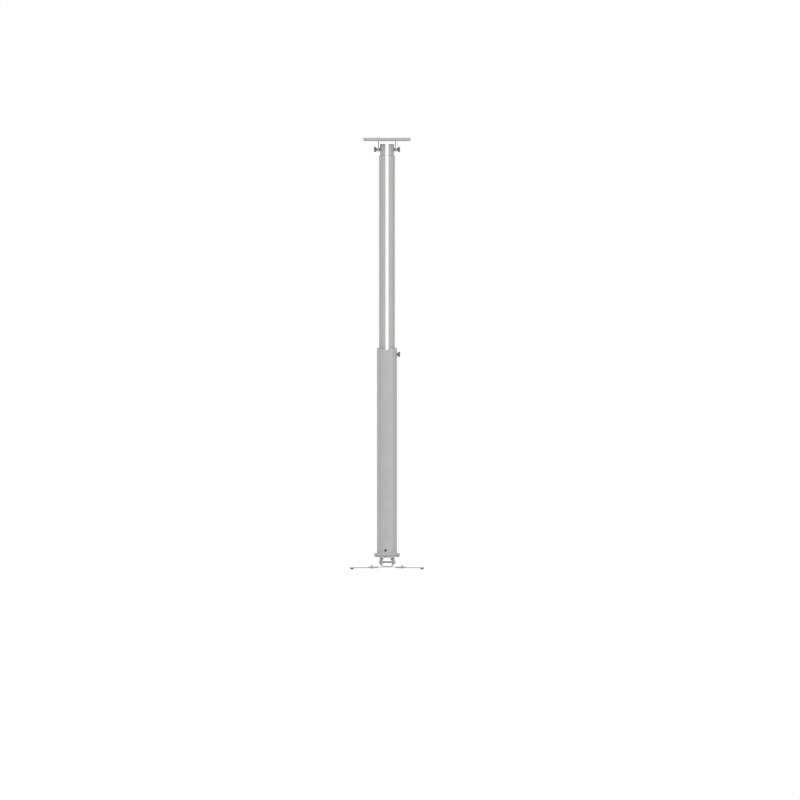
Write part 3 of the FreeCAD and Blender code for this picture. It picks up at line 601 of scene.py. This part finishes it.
FINISHES: dict[Slot, Finish] = {
    Slot.ALUMINIUM: Finish("powder_coated_aluminium", **POWDER_COAT),
    Slot.STEEL: Finish("powder_coated_steel", **POWDER_COAT),
    # Glass-filled nylon from a spark-eroded mould: dark grey, dull, with an even fine grain.
    Slot.KNOB: Finish(
        "moulded_nylon_knob", "#6c6c6d", "#787879",
        patch=15, grain=0.5, relief=0.1, rough=(0.5, 0.62), ior=1.53,
    ),
    # Acetal: a slightly greasy mid grey, smooth from the mould.
    Slot.COLLAR: Finish(
        "moulded_acetal", "#a7a8a8", "#adaeae",
        patch=25, grain=1.2, relief=0.01, rough=(0.32, 0.42), ior=1.48,
    ),
    # Black polypropylene, lightly textured.
    Slot.STOP: Finish(
        "black_polypropylene", "#202122", "#28292a",
        patch=20, grain=0.8, relief=0.03, rough=(0.42, 0.55), ior=1.49,
    ),
    # Natural nylon: a milky white that lets some light in.
    Slot.NYLON: Finish(
        "natural_nylon", "#e8e7e1", "#f0efea",
        patch=10, grain=0.8, relief=0.01, rough=(0.35, 0.45), ior=1.53, soft=0.2,
    ),
    # Black moulded rubber, dull and faintly dusty.
    Slot.FOOT: Finish(
        "moulded_rubber", "#232324", "#2c2c2d",
        patch=8, grain=0.6, relief=0.04, rough=(0.65, 0.8), ior=1.52,
    ),
    # Steel with a black oxide skin: near black, with a soft oily gloss.
    Slot.BLACK: Finish(
        "black_oxide_steel", "#2e2f31", "#38393b",
        patch=5, grain=0.5, relief=0.01, rough=(0.34, 0.48), metallic=1.0,
    ),
    # Turned brass: a warm yellow, a little dulled by handling.
    Slot.BRASS: Finish(
        "turned_brass", "#b9934c", "#caa75f",
        patch=6, grain=0.4, relief=0.01, rough=(0.24, 0.36), metallic=1.0,
    ),
    # Bright zinc plate on steel: cool and clear, with cloudy patches.
    Slot.ZINC: Finish(
        "zinc_plated_steel", "#b9bdc0", "#ccd0d2",
        patch=6, grain=0.6, relief=0.01, rough=(0.22, 0.38), metallic=1.0,
    ),
}


# Dressing


def fit(piece: Piece, node: str, body: str, slot: Slot) -> None:
    """Names a piece for the solid that it stands for, and gives it its finish and its body.

    Args:
        piece: The finished mesh.
        node: The solid that it replaces.
        body: The body that it moves with.
        slot: Its material slot.
    """
    piece.name = piece.data.name = f"{node}_finished"
    piece.data.materials.clear()
    piece.data.materials.append(FINISHES[slot].material())
    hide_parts(node)
    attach(piece, body)
    LOG.info("%s: %d faces on %s", piece.name, len(piece.data.polygons), body)


def stand(piece: Piece, node: str, body: str, slot: Slot, axis: Axis = Axis.UP) -> None:
    """Lays a piece that stands on level 0 along a direction, where a solid stands, and fits it."""
    fit(laid(piece, axis, Box.of(node).foot(axis)), node, body, slot)


def fit_solid(node: str, body: str, slot: Slot, edge: Edge, steps: int = 2) -> None:
    """Fits a solid's own shape, merged and with its edges rounded but for the rims of screw holes.

    Args:
        node: The solid's node.
        body: The body that it moves with.
        slot: Its material slot.
        edge: How far each edge is rounded.
        steps: How many faces each rounding has.
    """
    piece = copied(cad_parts[node])
    piece.parent = None
    with editing(piece):
        bpy.ops.mesh.remove_doubles(threshold=MERGE * MM)
        bpy.ops.mesh.dissolve_limited(angle_limit=math.radians(FLAT_ANGLE))
    fit(eased(piece, edge, steps, SCREW_RIM), node, body, slot)


# Fasteners that several sub-assemblies share


@dataclass(frozen=True)
class CountersunkScrew:
    """A countersunk screw with a hexagon socket.

    Attributes:
        head: The head's diameter.
        diameter: The thread's diameter.
        pitch: The thread's pitch.
        socket: The hexagon socket's width across flats.
        socket_depth: The depth of the socket.
        tip: The length of the tapered tip.
        plain: The length without thread under the head.
        rim: The height of the head's straight rim.
        rim_gap: The room round the head in its countersink.
    """

    head: float = 10.0
    diameter: float = 5.0
    pitch: float = 0.8
    socket: float = 3.0
    socket_depth: float = 2.0
    tip: float = 0.5
    plain: float = 0.6
    rim: float = 0.35
    rim_gap: float = 0.25

    def build(self, length: float) -> Piece:
        """Models the screw, its tip on level 0.

        Args:
            length: From the tip to the face of the head.

        Returns:
            The screw, on the Z axis.
        """
        radius, rim = self.diameter / 2, self.head / 2 - self.rim_gap
        neck = length + radius - self.head / 2
        profile = [(radius - self.pitch, 0)]
        profile += thread(radius, self.pitch, self.tip, neck - self.plain)
        profile += [(radius, neck), (rim, length - self.rim), (rim, length)]
        socket = prism(6, self.socket, length - self.socket_depth, length + OVERCUT)
        return eased(combine(turned(profile, sides=40), Join.CUT, socket), Edge.SCREW)

    def fit_ring(self, node: str, body: str, slot: Slot, axis: Axis) -> None:
        """Fits the four screws of a solid that has them on the diagonals.

        Args:
            node: The solid.
            body: The body that the screws move with.
            slot: Their material slot.
            axis: Where their heads face.
        """
        box = Box.of(node)
        first = self.build(box.length(axis))
        screws = [first] + [copied(first) for _ in range(3)]
        out = Vector(((box.width(axis) - self.head) / math.sqrt(2), 0, 0))
        for number, screw in enumerate(screws):
            laid(screw, axis, box.foot(axis) + out, turn=45 + 90 * number)
        fit(joined(screws), node, body, slot)


@dataclass(frozen=True)
class HexFastener:
    """A hexagon bolt and its nut, with chamfered corners.

    Attributes:
        diameter: The thread's diameter.
        pitch: The thread's pitch.
        flats: The width across flats.
        nut: The height of the nut.
        head: The height of the bolt's head, if it has a hexagon one.
        skirt: The section of the nut's flange, from its foot up, or nothing.
        chamfer: The slope of the corners' chamfer, in degrees.
        face: The diameter of the round end faces, as a share of the flats.
        plain: The share of the shank without thread.
        tip: How far the bolt's end narrows, in pitches.
        bore_gap: The room round the thread in the nut.
        lead: The depth of the nut's lead-in.
    """

    diameter: float
    pitch: float
    flats: float
    nut: float
    head: float = 0.0
    skirt: tuple[Point, ...] = ()
    chamfer: float = 30.0
    face: float = 0.92
    plain: float = 0.35
    tip: float = 0.6
    bore_gap: float = 0.1
    lead: float = 0.5

    def hexagon(self, height: float, both: bool) -> Piece:
        """Models a hexagon with chamfered corners, standing on level 0.

        Args:
            height: Its height.
            both: Whether its lower corners are chamfered as well.

        Returns:
            The hexagon, on the Z axis.
        """
        outside = self.flats / math.sqrt(3) + OVERCUT / 2
        inside = self.face * self.flats / 2
        drop = (outside - inside) * math.tan(math.radians(self.chamfer))
        low = [(inside, 0), (outside, drop)] if both else [(outside, -OVERCUT)]
        cone = turned(low + [(outside, height - drop), (inside, height)], sides=96)
        return combine(prism(6, self.flats, 0, height), Join.KEEP, cone)

    def build_bolt(self, length: float) -> Piece:
        """Models the bolt, standing on its head.

        Args:
            length: Its length with the head.

        Returns:
            The bolt, on the Z axis.
        """
        radius, start = self.diameter / 2, self.head + self.plain * (length - self.head)
        profile = [(radius, self.head / 2), (radius, start - RUNOUT)]
        profile += thread(radius, self.pitch, start, length - self.pitch / 2)
        profile += [(radius - self.tip * self.pitch, length)]
        bolt = laid(self.hexagon(self.head, both=False), Axis.DOWN, (0, 0, self.head))
        return eased(combine(bolt, Join.ADD, turned(profile, sides=40)), Edge.SCREW)

    def build_nut(self) -> Piece:
        """Models the nut, standing on level 0.

        Returns:
            The nut, on the Z axis.
        """
        if self.skirt:
            # The hexagon starts inside the flange.
            lift = self.skirt[1][1] / 2
            nut = laid(self.hexagon(self.nut - lift, both=False), at=(0, 0, lift))
            combine(nut, Join.ADD, turned(list(self.skirt)))
        else:
            nut = self.hexagon(self.nut, both=True)
        bore = self.diameter / 2 + self.bore_gap
        mouth, past = bore + self.lead, 0.01
        funnel = [(mouth, -past), (bore, self.lead)]
        funnel += [(bore, self.nut - self.lead), (mouth, self.nut + past)]
        return eased(combine(nut, Join.CUT, turned(funnel, sides=48)), Edge.SCREW)


# Sub-assemblies


@dataclass
class CeilingFixing:
    """The plate, the socket under it, its screws and the washers of its clamps.

    Attributes:
        screw: The screws of the socket.
        washer_bore: The washers' bore.
    """

    screw: CountersunkScrew = CountersunkScrew()
    washer_bore: float = 8.6

    def build(self) -> None:
        """Models and dresses the plate, the socket, the screws and the washers."""
        fit_solid("ceiling_plate", "root", Slot.ALUMINIUM, Edge.PLATE, steps=3)
        fit_solid("ceiling_socket", "root", Slot.ALUMINIUM, Edge.CASTING)
        self.screw.fit_ring("socket_screws", "root", Slot.ZINC, Axis.UP)
        model = washer("socket_washer_right", Axis.RIGHT, self.washer_bore, Edge.RING)
        for side in (Axis.LEFT, Axis.RIGHT):
            node = f"socket_washer_{side.word}"
            stand(copied(model), node, node, Slot.NYLON, side)
        discard(model)


@dataclass
class TwinRails:
    """The two rails that the tube runs on, and the stop under them.

    Attributes:
        screw: The screws of the stop.
    """

    screw: CountersunkScrew = CountersunkScrew()

    def build(self) -> None:
        """Models and dresses the rails, the stop and its screws."""
        for side in (Axis.LEFT, Axis.RIGHT):
            fit_solid(f"inner_rail_{side.word}", "root", Slot.ALUMINIUM, Edge.CUT, steps=3)
        fit_solid("end_stop", "root", Slot.STOP, Edge.CUT)
        self.screw.fit_ring("end_stop_screws", "root", Slot.ZINC, Axis.DOWN)


@dataclass
class SlidingTube:
    """The lower tube with its guide collar, the seat of its height lock, and its foot.

    Attributes:
        tube_wall: The tube's wall.
        notch: The radius of the notch in the mouth.
        notch_depth: How far the notch goes below the collar's top.
        hole_gap: The room round an insert or a screw in its hole.
        ring_steps: Where the wall has rings below and above a hole, in widths of the insert.
        weld: How close the corners are that become one after the cuts.
        insert_bore: The lock insert's bore.
        washer_bore: The bore of the washer under the hub.
        screw_turn: How far the front hub screw is turned to the left, in degrees.
        screw: The diameter of a hub screw's thread.
        screw_pitch: The pitch of the thread.
        screw_length: The length of a hub screw under its button head.
        screw_tip: The length of its plain tip.
        screw_head: The radius and level of its head's rim, and of the flat on top.
        screw_bulge: The point that the head's round side leans towards.
        screw_socket: The width across flats and the depth of the hexagon socket.
    """

    tube_wall: float = 3.0
    notch: float = 11.5
    notch_depth: float = 9.0
    hole_gap: float = 0.1
    ring_steps: Point = (-0.7, 1.0)
    weld: float = 0.3
    insert_bore: float = 8.6
    washer_bore: float = 26.6
    screw_turn: float = 8.6
    screw: float = 6.0
    screw_pitch: float = 1.0
    screw_length: float = 6.1
    screw_tip: float = 0.4
    screw_head: tuple[Point, Point] = ((5.25, 0.0), (2.94, 3.3))
    screw_bulge: Point = (4.7, 1.9)
    screw_socket: Point = (4.0, 2.1)

    def build(self) -> None:
        """Models and dresses the tube, the collar, the lock's seat, the hub and its washer."""
        fit(self.build_tube(), "outer_tube", "column", Slot.ALUMINIUM)
        fit_solid("top_collar", "column", Slot.COLLAR, Edge.FITTING)
        fit_solid("end_hub", "column", Slot.ALUMINIUM, Edge.CASTING)
        self.build_lock()
        self.build_screws()
        sheet = washer("swivel_washer", Axis.UP, self.washer_bore, Edge.FINE, sides=96)
        stand(sheet, "swivel_washer", "column", Slot.NYLON)

    def screw_angles(self) -> list[float]:
        """The directions of the hub screws, in degrees from +X. The first is the front one."""
        return [270 - self.screw_turn + 120 * number for number in range(3)]

    def build_tube(self) -> Piece:
        """Models the tube, notched at its mouth and drilled for the lock and the hub screws.

        Returns:
            The tube.
        """
        box, insert = Box.of("outer_tube"), Box.of("lock_insert").width(Axis.RIGHT)
        outside = box.width(Axis.UP)
        notch_level = Box.of("top_collar").high.z - self.notch_depth + self.notch
        lock_level, screw_level = (Box.of(node).middle.z for node in ("lock_knob", "hub_screws"))
        # Rings just off the holes keep the long walls' faces out of the cuts.
        holes = (screw_level, lock_level)
        rings = [hole + step * insert for hole in holes for step in self.ring_steps]
        levels = [box.low.z, *rings, box.high.z]
        section = [(outside / 2, level) for level in levels]
        section += [(outside / 2 - self.tube_wall, level) for level in reversed(levels)]
        tube = turned(section, sides=150, ring=True)
        cuts = [
            (self.notch, -outside, 64, Axis.FRONT, notch_level, 0),
            (insert / 2 + self.hole_gap, 0, 64, Axis.RIGHT, lock_level, 0),
        ]
        for turn in self.screw_angles():
            cuts.append((self.screw / 2 + self.hole_gap, 0, 40, Axis.RIGHT, screw_level, turn))
        for radius, start, sides, axis, level, turn in cuts:
            drill = turned([(radius, start), (radius, outside)], sides)
            combine(tube, Join.CUT, laid(drill, axis, (0, 0, level), turn))
        with editing(tube):
            bpy.ops.mesh.remove_doubles(threshold=self.weld * MM)
        return eased(tube, Edge.SAWN, least=SCREW_RIM)

    def build_lock(self) -> None:
        """Models and dresses the lock's pad and insert."""
        box = Box.of("lock_pad")
        radius, length = box.width(Axis.RIGHT) / 2, box.length(Axis.RIGHT)
        pad = eased(turned([(radius, 0), (radius, length)], sides=48), Edge.SAWN)
        stand(pad, "lock_pad", "lock_pad", Slot.NYLON, Axis.RIGHT)
        insert = washer("lock_insert", Axis.RIGHT, self.insert_bore, Edge.FITTING)
        stand(insert, "lock_insert", "column", Slot.BRASS, Axis.RIGHT)

    def build_screws(self) -> None:
        """Models and dresses the three button-head screws that hold the tube on the hub."""
        radius, pitch = self.screw / 2, self.screw_pitch
        rim, top = self.screw_head
        profile = [(radius - pitch / 2, -self.screw_length)]
        profile += thread(radius, pitch, self.screw_tip - self.screw_length, -pitch)
        profile += [(radius, -pitch / 2), (radius, 0)]
        profile += curve(rim, self.screw_bulge, top, steps=4)
        flats, depth = self.screw_socket
        socket = prism(6, flats, top[1] - depth, top[1] + OVERCUT)
        first = eased(combine(turned(profile, sides=48), Join.CUT, socket), Edge.FINE)
        at = (Box.of("outer_tube").width(Axis.UP) / 2, 0, Box.of("hub_screws").middle.z)
        screws = [first, copied(first), copied(first)]
        for screw, turn in zip(screws, self.screw_angles()):
            laid(screw, Axis.RIGHT, at, turn)
        fit(joined(screws), "hub_screws", "column", Slot.BLACK)


@dataclass
class ClampKnobs:
    """The fluted clamp knobs on their necks, with their threaded studs.

    Attributes:
        diameter: The grip's diameter.
        thickness: The grip's thickness.
        neck: The neck's diameter.
        neck_length: The neck's length.
        flutes: How many flutes the grip has.
        flute_radius: The radius of a flute.
        flute_depth: The depth of a flute.
        lip: How far the lips between the flutes are rounded.
        under_edge: How far the grip's edge is rounded on the neck's side.
        top_edge: How far its other edge is rounded, across and along.
        soft: How far the neck and the cap are rounded.
        cap: The diameter of the dished end.
        cap_depth: How far the end is dished.
        cap_slope: How far the dish narrows to its floor.
        stud: The studs' diameter.
        pitch: The studs' pitch.
        stud_tip: The length of a stud's plain tip.
        grip: How far a stud goes into its knob.
        gap: The room round a stud in its knob.
        lead: The depth of the bore's lead-in.
    """

    diameter: float = 22.9
    thickness: float = 9.1
    neck: float = 13.7
    neck_length: float = 4.6
    flutes: int = 8
    flute_radius: float = 3.2
    flute_depth: float = 1.5
    lip: float = 0.25
    under_edge: float = 0.9
    top_edge: Point = (2.0, 2.4)
    soft: float = 0.5
    cap: float = 13.0
    cap_depth: float = 0.7
    cap_slope: float = 0.2
    stud: float = 8.0
    pitch: float = 1.25
    stud_tip: float = 0.4
    grip: float = 9.0
    gap: float = 0.1
    lead: float = 0.3

    def build(self) -> None:
        """Models one knob, and a stud of each length, and dresses copies of them."""
        knob, stud = self.build_knob(), self.build_stud("socket_stud_right")
        for side in (Axis.LEFT, Axis.RIGHT):
            clamp = f"socket_knob_{side.word}"
            stand(copied(knob), clamp, clamp, Slot.KNOB, side)
            stand(copied(stud), f"socket_stud_{side.word}", clamp, Slot.ZINC, side)
        stand(copied(knob), "lock_knob", "lock_knob", Slot.KNOB, Axis.RIGHT)
        stand(self.build_stud("lock_stud"), "lock_stud", "lock_knob", Slot.ZINC, Axis.RIGHT)
        discard(knob, stud)

    def build_knob(self) -> Piece:
        """Models the knob, standing on its neck.

        Returns:
            The knob, on the Z axis.
        """
        radius, neck, cap = self.diameter / 2, self.neck / 2, self.cap / 2
        under, top = self.neck_length, self.neck_length + self.thickness
        bore, soft, edge = self.stud / 2 + self.gap, self.soft, self.under_edge
        across, along = self.top_edge
        profile = [(bore, self.grip + self.gap), (bore, self.lead), (bore + self.lead, 0)]
        profile += [(neck - soft, 0), (neck, soft)]
        profile += curve((neck, under - soft), (neck, under), (neck + soft, under))
        profile += curve((radius - edge, under), (radius, under), (radius, under + edge))
        profile += curve((radius, top - along), (radius, top), (radius - across, top), steps=3)
        profile += curve((cap + soft, top), (cap, top), (cap, top - soft))
        profile += [(cap - self.cap_slope, top - self.cap_depth)]
        knob = turned(profile, sides=24 * self.flutes)
        for vertex in knob.data.vertices:
            vertex.co.xy *= self.flute_scale(vertex.co.x / MM, vertex.co.y / MM)
        return shaded(knob)

    def flute_scale(self, x: float, y: float) -> float:
        """Works out how far the flutes pull in a point: most at the rim, and none near the axis.

        Args:
            x: The point's place along X.
            y: The point's place along Y.

        Returns:
            The point's new distance from the axis, as a share of the old one.
        """
        radius, start = self.diameter / 2, self.neck / 2 + self.soft
        share = (math.hypot(x, y) - start) / (radius - start)
        if share <= 0:
            return 1.0
        pitch = 2 * math.pi / self.flutes
        angle = math.atan2(y, x) % pitch - pitch / 2
        away = radius + self.flute_radius - self.flute_depth
        across = min(abs(away * math.sin(angle)), self.flute_radius)
        wall = away * math.cos(angle) - math.sqrt(self.flute_radius ** 2 - across ** 2)
        # The smaller of the rim and the flute's wall, with the lip between them rounded.
        rim = -self.lip * math.log(math.exp(-radius / self.lip) + math.exp(-wall / self.lip))
        return 1 - min(share, 1.0) * (1 - rim / radius)

    def build_stud(self, node: str) -> Piece:
        """Models a stud, standing on its tip.

        Args:
            node: The solid that has its length.

        Returns:
            The stud, on the Z axis.
        """
        radius = self.stud / 2
        profile = [(radius - THREAD_DEPTH * self.pitch, 0)]
        profile += thread(radius, self.pitch, self.stud_tip, Box.of(node).length(Axis.RIGHT))
        return eased(turned(profile, sides=40), Edge.STUD)


@dataclass
class SwivelHead:
    """The yoke that turns under the hub, on its hollow pivot, and the tilt bolt through it.

    Attributes:
        pivot: The pivot's diameter.
        pivot_bore: The pivot's bore.
        pivot_end: The diameter of the pivot's upper end.
        pivot_head: The height of the pivot's head.
        pivot_pitch: The pitch of the pivot's thread.
        pivot_thread: The length of the pivot's thread.
        pivot_tip: The length of the tapers at both ends of the thread.
        washer_bore: The bore of the washer under the ring nut.
        kit: The tilt bolt and its nut.
        tilt_bore: The tilt washers' bore.
        tilt_height: The tilt washers' thickness.
    """

    pivot: float = 26.0
    pivot_bore: float = 19.0
    pivot_end: float = 24.6
    pivot_head: float = 3.0
    pivot_pitch: float = 1.5
    pivot_thread: float = 8.0
    pivot_tip: float = 0.4
    washer_bore: float = 26.6
    kit: HexFastener = HexFastener(diameter=8.0, pitch=1.25, flats=13.0, nut=6.5, head=5.3)
    tilt_bore: float = 8.2
    tilt_height: float = 1.6

    def build(self) -> None:
        """Models and dresses the yoke, the pivot and the tilt bolt."""
        fit_solid("swivel_yoke", "swivel", Slot.ALUMINIUM, Edge.CASTING)
        fit_solid("ring_nut", "swivel", Slot.ZINC, Edge.RING)
        self.build_pivot()
        sheet = washer("pivot_washer", Axis.UP, self.washer_bore, Edge.FINE, sides=72)
        stand(sheet, "pivot_washer", "swivel", Slot.NYLON)
        self.build_bolt()

    def build_pivot(self) -> None:
        """Models and dresses the hollow pivot, with its head below and its thread above."""
        box = Box.of("pivot_sleeve")
        top, head = box.length(Axis.UP), box.width(Axis.UP) / 2
        radius, bore, start = self.pivot / 2, self.pivot_bore / 2, top - self.pivot_thread
        section = [(bore, 0), (head, 0), (head, self.pivot_head), (radius, self.pivot_head)]
        section += [(radius, start - self.pivot_tip)]
        section += thread(radius, self.pivot_pitch, start, top - self.pivot_tip)
        section += [(self.pivot_end / 2, top), (bore, top)]
        sleeve = eased(turned(section, sides=72, ring=True), Edge.TURNED)
        stand(sleeve, "pivot_sleeve", "swivel", Slot.ZINC)

    def build_bolt(self) -> None:
        """Models and dresses the tilt bolt with its washers and nut."""
        bolt = self.kit.build_bolt(Box.of("tilt_bolt").length(Axis.RIGHT))
        stand(bolt, "tilt_bolt", "swivel", Slot.ZINC, Axis.RIGHT)
        stand(self.kit.build_nut(), "tilt_nut", "swivel", Slot.ZINC, Axis.RIGHT)
        height = self.tilt_height
        first = washer("tilt_washers", Axis.RIGHT, self.tilt_bore, Edge.TURNED, height=height)
        pair, box = [first, copied(first)], Box.of("tilt_washers")
        for piece, side in zip(pair, (Axis.RIGHT, Axis.LEFT)):
            laid(piece, side, box.middle + side.way * (box.length(side) / 2 - height))
        fit(joined(pair), "tilt_washers", "swivel", Slot.ZINC)


@dataclass
class TiltHead:
    """The bracket that leans on the tilt bolt, its lock bolts and the spider plate under it.

    Attributes:
        screw: The screws that hold the plate.
        kit: The lock bolts and their nuts.
    """

    screw: CountersunkScrew = CountersunkScrew()
    kit: HexFastener = HexFastener(diameter=6.0, pitch=1.0, flats=10.0, nut=5.0, head=4.0)

    def build(self) -> None:
        """Models and dresses the bracket, the plate and their fasteners."""
        fit_solid("tilt_bracket", "tilt", Slot.STEEL, Edge.CUT)
        fit_solid("spider_plate", "tilt", Slot.STEEL, Edge.CUT)
        self.screw.fit_ring("bracket_screws", "tilt", Slot.BLACK, Axis.DOWN)
        bolt = self.kit.build_bolt(Box.of("tilt_lock_bolt_left").length(Axis.RIGHT))
        nut = self.kit.build_nut()
        for side, inward in ((Axis.LEFT, Axis.RIGHT), (Axis.RIGHT, Axis.LEFT)):
            stand(copied(bolt), f"tilt_lock_bolt_{side.word}", "tilt", Slot.ZINC, inward)
            stand(copied(nut), f"tilt_lock_nut_{side.word}", "tilt", Slot.ZINC, inward)
        discard(bolt, nut)


@dataclass
class SpiderArms:
    """The four slotted arms with their feet, clamp bolts and nuts.

    Attributes:
        foot_section: A foot's section, with the groove in its face.
        kit: The clamp bolts' thread, and their nuts.
        head: The clamp bolt's head: the ends of its dome and the height of its rim.
        head_bulge: The point that the dome leans towards.
        neck: The side of the bolt's square neck.
        neck_length: The length of the neck.
        plain: The length of the shank without thread.
    """

    foot_section: tuple[Point, ...] = (
        (2.25, 0.0), (4.2, 0.0), (4.5, 0.5), (5.1, 0.5),
        (5.4, 0.0), (7.5, 0.0), (6.0, 5.0), (2.25, 5.0),
    )
    kit: HexFastener = HexFastener(
        diameter=6.0, pitch=1.0, flats=10.0, nut=6.5, tip=0.8,
        skirt=((7.0, 0.0), (7.0, 0.75), (5.0, 1.95)),
    )
    head: tuple[Point, Point, float] = ((1.2, 0.0), (7.0, 2.6), 3.0)
    head_bulge: Point = (5.0, 0.2)
    neck: float = 6.4
    neck_length: float = 3.0
    plain: float = 4.0

    def build(self) -> None:
        """Models one set, and dresses a copy of it at each corner."""
        bolt, nut = self.build_bolt(), self.kit.build_nut()
        foot = eased(turned(list(self.foot_section), ring=True), Edge.FITTING)
        for corner in Corner:
            arm, clamp = f"arm_{corner.value}", f"arm_clamp_{corner.value}"
            fit_solid(f"spider_{arm}", arm, Slot.STEEL, Edge.CUT)
            ends = (f"arm_bolt_{corner.value}", f"arm_foot_{corner.value}")
            start, end = (Box.of(node).middle for node in ends)
            turn = math.degrees(math.atan2(end.y - start.y, end.x - start.x))
            for model, kind, body, slot in (
                (bolt, "arm_bolt", clamp, Slot.ZINC),
                (nut, "arm_nut", clamp, Slot.ZINC),
                (foot, "arm_foot", arm, Slot.FOOT),
            ):
                stand(laid(copied(model), turn=turn), f"{kind}_{corner.value}", body, slot)
        discard(bolt, nut, foot)

    def build_bolt(self) -> Piece:
        """Models the clamp bolt, standing on its domed head, with a square neck and a thread.

        Returns:
            The bolt, on the Z axis.
        """
        top = Box.of(f"arm_bolt_{Corner.FRONT_LEFT.value}").length(Axis.UP)
        radius, pitch, (middle, rim, seat) = self.kit.diameter / 2, self.kit.pitch, self.head
        profile = curve(middle, self.head_bulge, rim, steps=4)
        profile += [(rim[0], seat), (radius, seat), (radius, seat + self.plain - RUNOUT)]
        profile += thread(radius, pitch, seat + self.plain, top - pitch / 2)
        profile += [(radius - self.kit.tip * pitch, top)]
        neck = laid(prism(4, self.neck, seat - OVERCUT, seat + self.neck_length), turn=45)
        eased(neck, Edge.FINE)
        return eased(combine(turned(profile, sides=48), Join.ADD, neck), Edge.BOLT)


@dataclass(frozen=True)
class Lamp:
    """A soft square lamp that faces the column.

    Attributes:
        name: The lamp's name.
        place: Where it hangs.
        size: Its side.
        power: Its power, in watts.
        aim: The point that it faces.
    """

    name: str
    place: Spot
    size: float
    power: float
    aim: Spot = (0.0, 0.0, -1.0)

    def build(self) -> None:
        """Hangs the lamp."""
        data = bpy.data.lights.new(self.name, "AREA")
        data.size = self.size
        data.energy = self.power
        lamp = bpy.data.objects.new(self.name, data)
        bpy.context.scene.collection.objects.link(lamp)
        lamp.location = self.place
        way = Vector(self.aim) - Vector(self.place)
        lamp.rotation_euler = way.to_track_quat("-Z", "Y").to_euler()


@dataclass
class Studio:
    """The floor, the light and the camera, in metres.

    Attributes:
        floor_level: The floor's level.
        floor_size: The floor's side.
        floor_colour: The floor's colour.
        floor_rough: The floor's roughness.
        floor_glow: How much the floor is lifted towards white for the eye.
        ambient: The strength of the light from all round.
        width: The width that the camera sees at the column.
        middle: The camera's place along X and Z.
        lens: The camera's focal length in millimetres, long because the view is a flat elevation.
        lamps: The lamps.
    """

    floor_level: float = -3.1
    floor_size: float = 3.0
    floor_colour: str = "#f4f4f4"
    floor_rough: float = 0.9
    floor_glow: float = 0.45
    ambient: float = 0.5
    width: float = 3.656
    middle: Point = (0.0594, -1.1973)
    lens: float = 1200.0
    lamps: tuple[Lamp, ...] = (
        Lamp("key", (-5.0, -7.0, 2.5), size=4.0, power=250.0),
        Lamp("fill", (6.0, -6.0, 0.0), size=5.0, power=200.0),
        Lamp("rim", (2.0, 7.0, 2.0), size=4.0, power=150.0),
    )

    def build(self) -> None:
        """Sets up the world, the floor, the lamps and the camera."""
        scene = bpy.context.scene
        scene.view_settings.view_transform = "Standard"
        self.build_world()
        self.build_floor()
        for lamp in self.lamps:
            lamp.build()
        data = bpy.data.cameras.new("camera")
        data.lens = self.lens
        distance = self.width * self.lens / data.sensor_width
        data.clip_end = 2 * distance
        camera = bpy.data.objects.new("camera", data)
        scene.collection.objects.link(camera)
        camera.location = (self.middle[0], -distance, self.middle[1])
        camera.rotation_euler = (math.radians(90), 0, 0)
        scene.camera = camera

    def build_world(self) -> None:
        """Makes a world that is white to the eye and in reflections, and dimmer as light."""
        world = bpy.data.worlds.new("studio")
        bpy.context.scene.world = world
        world.use_nodes = True
        tree = world.node_tree
        settings = {"To Min": self.ambient, "To Max": 1.0}
        strength = add_node(tree, "ShaderNodeMapRange", settings, {"Value": self.shown(tree)})
        background = tree.nodes["Background"]
        background.inputs["Color"].default_value = (1, 1, 1, 1)
        tree.links.new(strength.outputs["Result"], background.inputs["Strength"])

    def build_floor(self) -> None:
        """Lays a white floor that keeps the piece's shadow."""
        bpy.ops.object.select_all(action="DESELECT")
        bpy.ops.mesh.primitive_plane_add(size=self.floor_size, location=(0, 0, self.floor_level))
        floor = bpy.context.active_object
        floor.name = "floor"
        # Matt white paint, rolled on: even and without gloss.
        material = bpy.data.materials.new("white_floor")
        material.use_nodes = True
        tree = material.node_tree
        shader = tree.nodes["Principled BSDF"]
        shader.inputs["Base Color"].default_value = to_linear(self.floor_colour)
        shader.inputs["Roughness"].default_value = self.floor_rough
        shader.inputs["Emission Color"].default_value = (1, 1, 1, 1)
        settings = {"To Max": self.floor_glow}
        glow = add_node(tree, "ShaderNodeMapRange", settings, {"Value": self.shown(tree)})
        tree.links.new(glow.outputs["Result"], shader.inputs["Emission Strength"])
        floor.data.materials.append(material)

    @staticmethod
    def shown(tree: bpy.types.NodeTree) -> bpy.types.NodeSocket:
        """Adds a switch that is 1 where the eye, a reflection or glass looks.

        Args:
            tree: The node tree.

        Returns:
            The switch's output.
        """
        path = add_node(tree, "ShaderNodeLightPath", {}, {})
        total = path.outputs["Is Camera Ray"]
        for name in ("Is Glossy Ray", "Is Transmission Ray"):
            links = {0: total, 1: path.outputs[name]}
            total = add_node(tree, "ShaderNodeMath", {"operation": "MAXIMUM"}, links).outputs[0]
        return total


def main() -> None:
    """Builds each sub-assembly and the studio."""
    logging.basicConfig(level=logging.INFO, format="%(name)s: %(message)s")
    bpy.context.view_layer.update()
    kinds = [CeilingFixing, TwinRails, SlidingTube, ClampKnobs, SwivelHead, TiltHead, SpiderArms]
    for kind in [*kinds, Studio]:
        LOG.info("building %s", kind.__name__)
        kind().build()


if __name__ == "__main__":
    main()
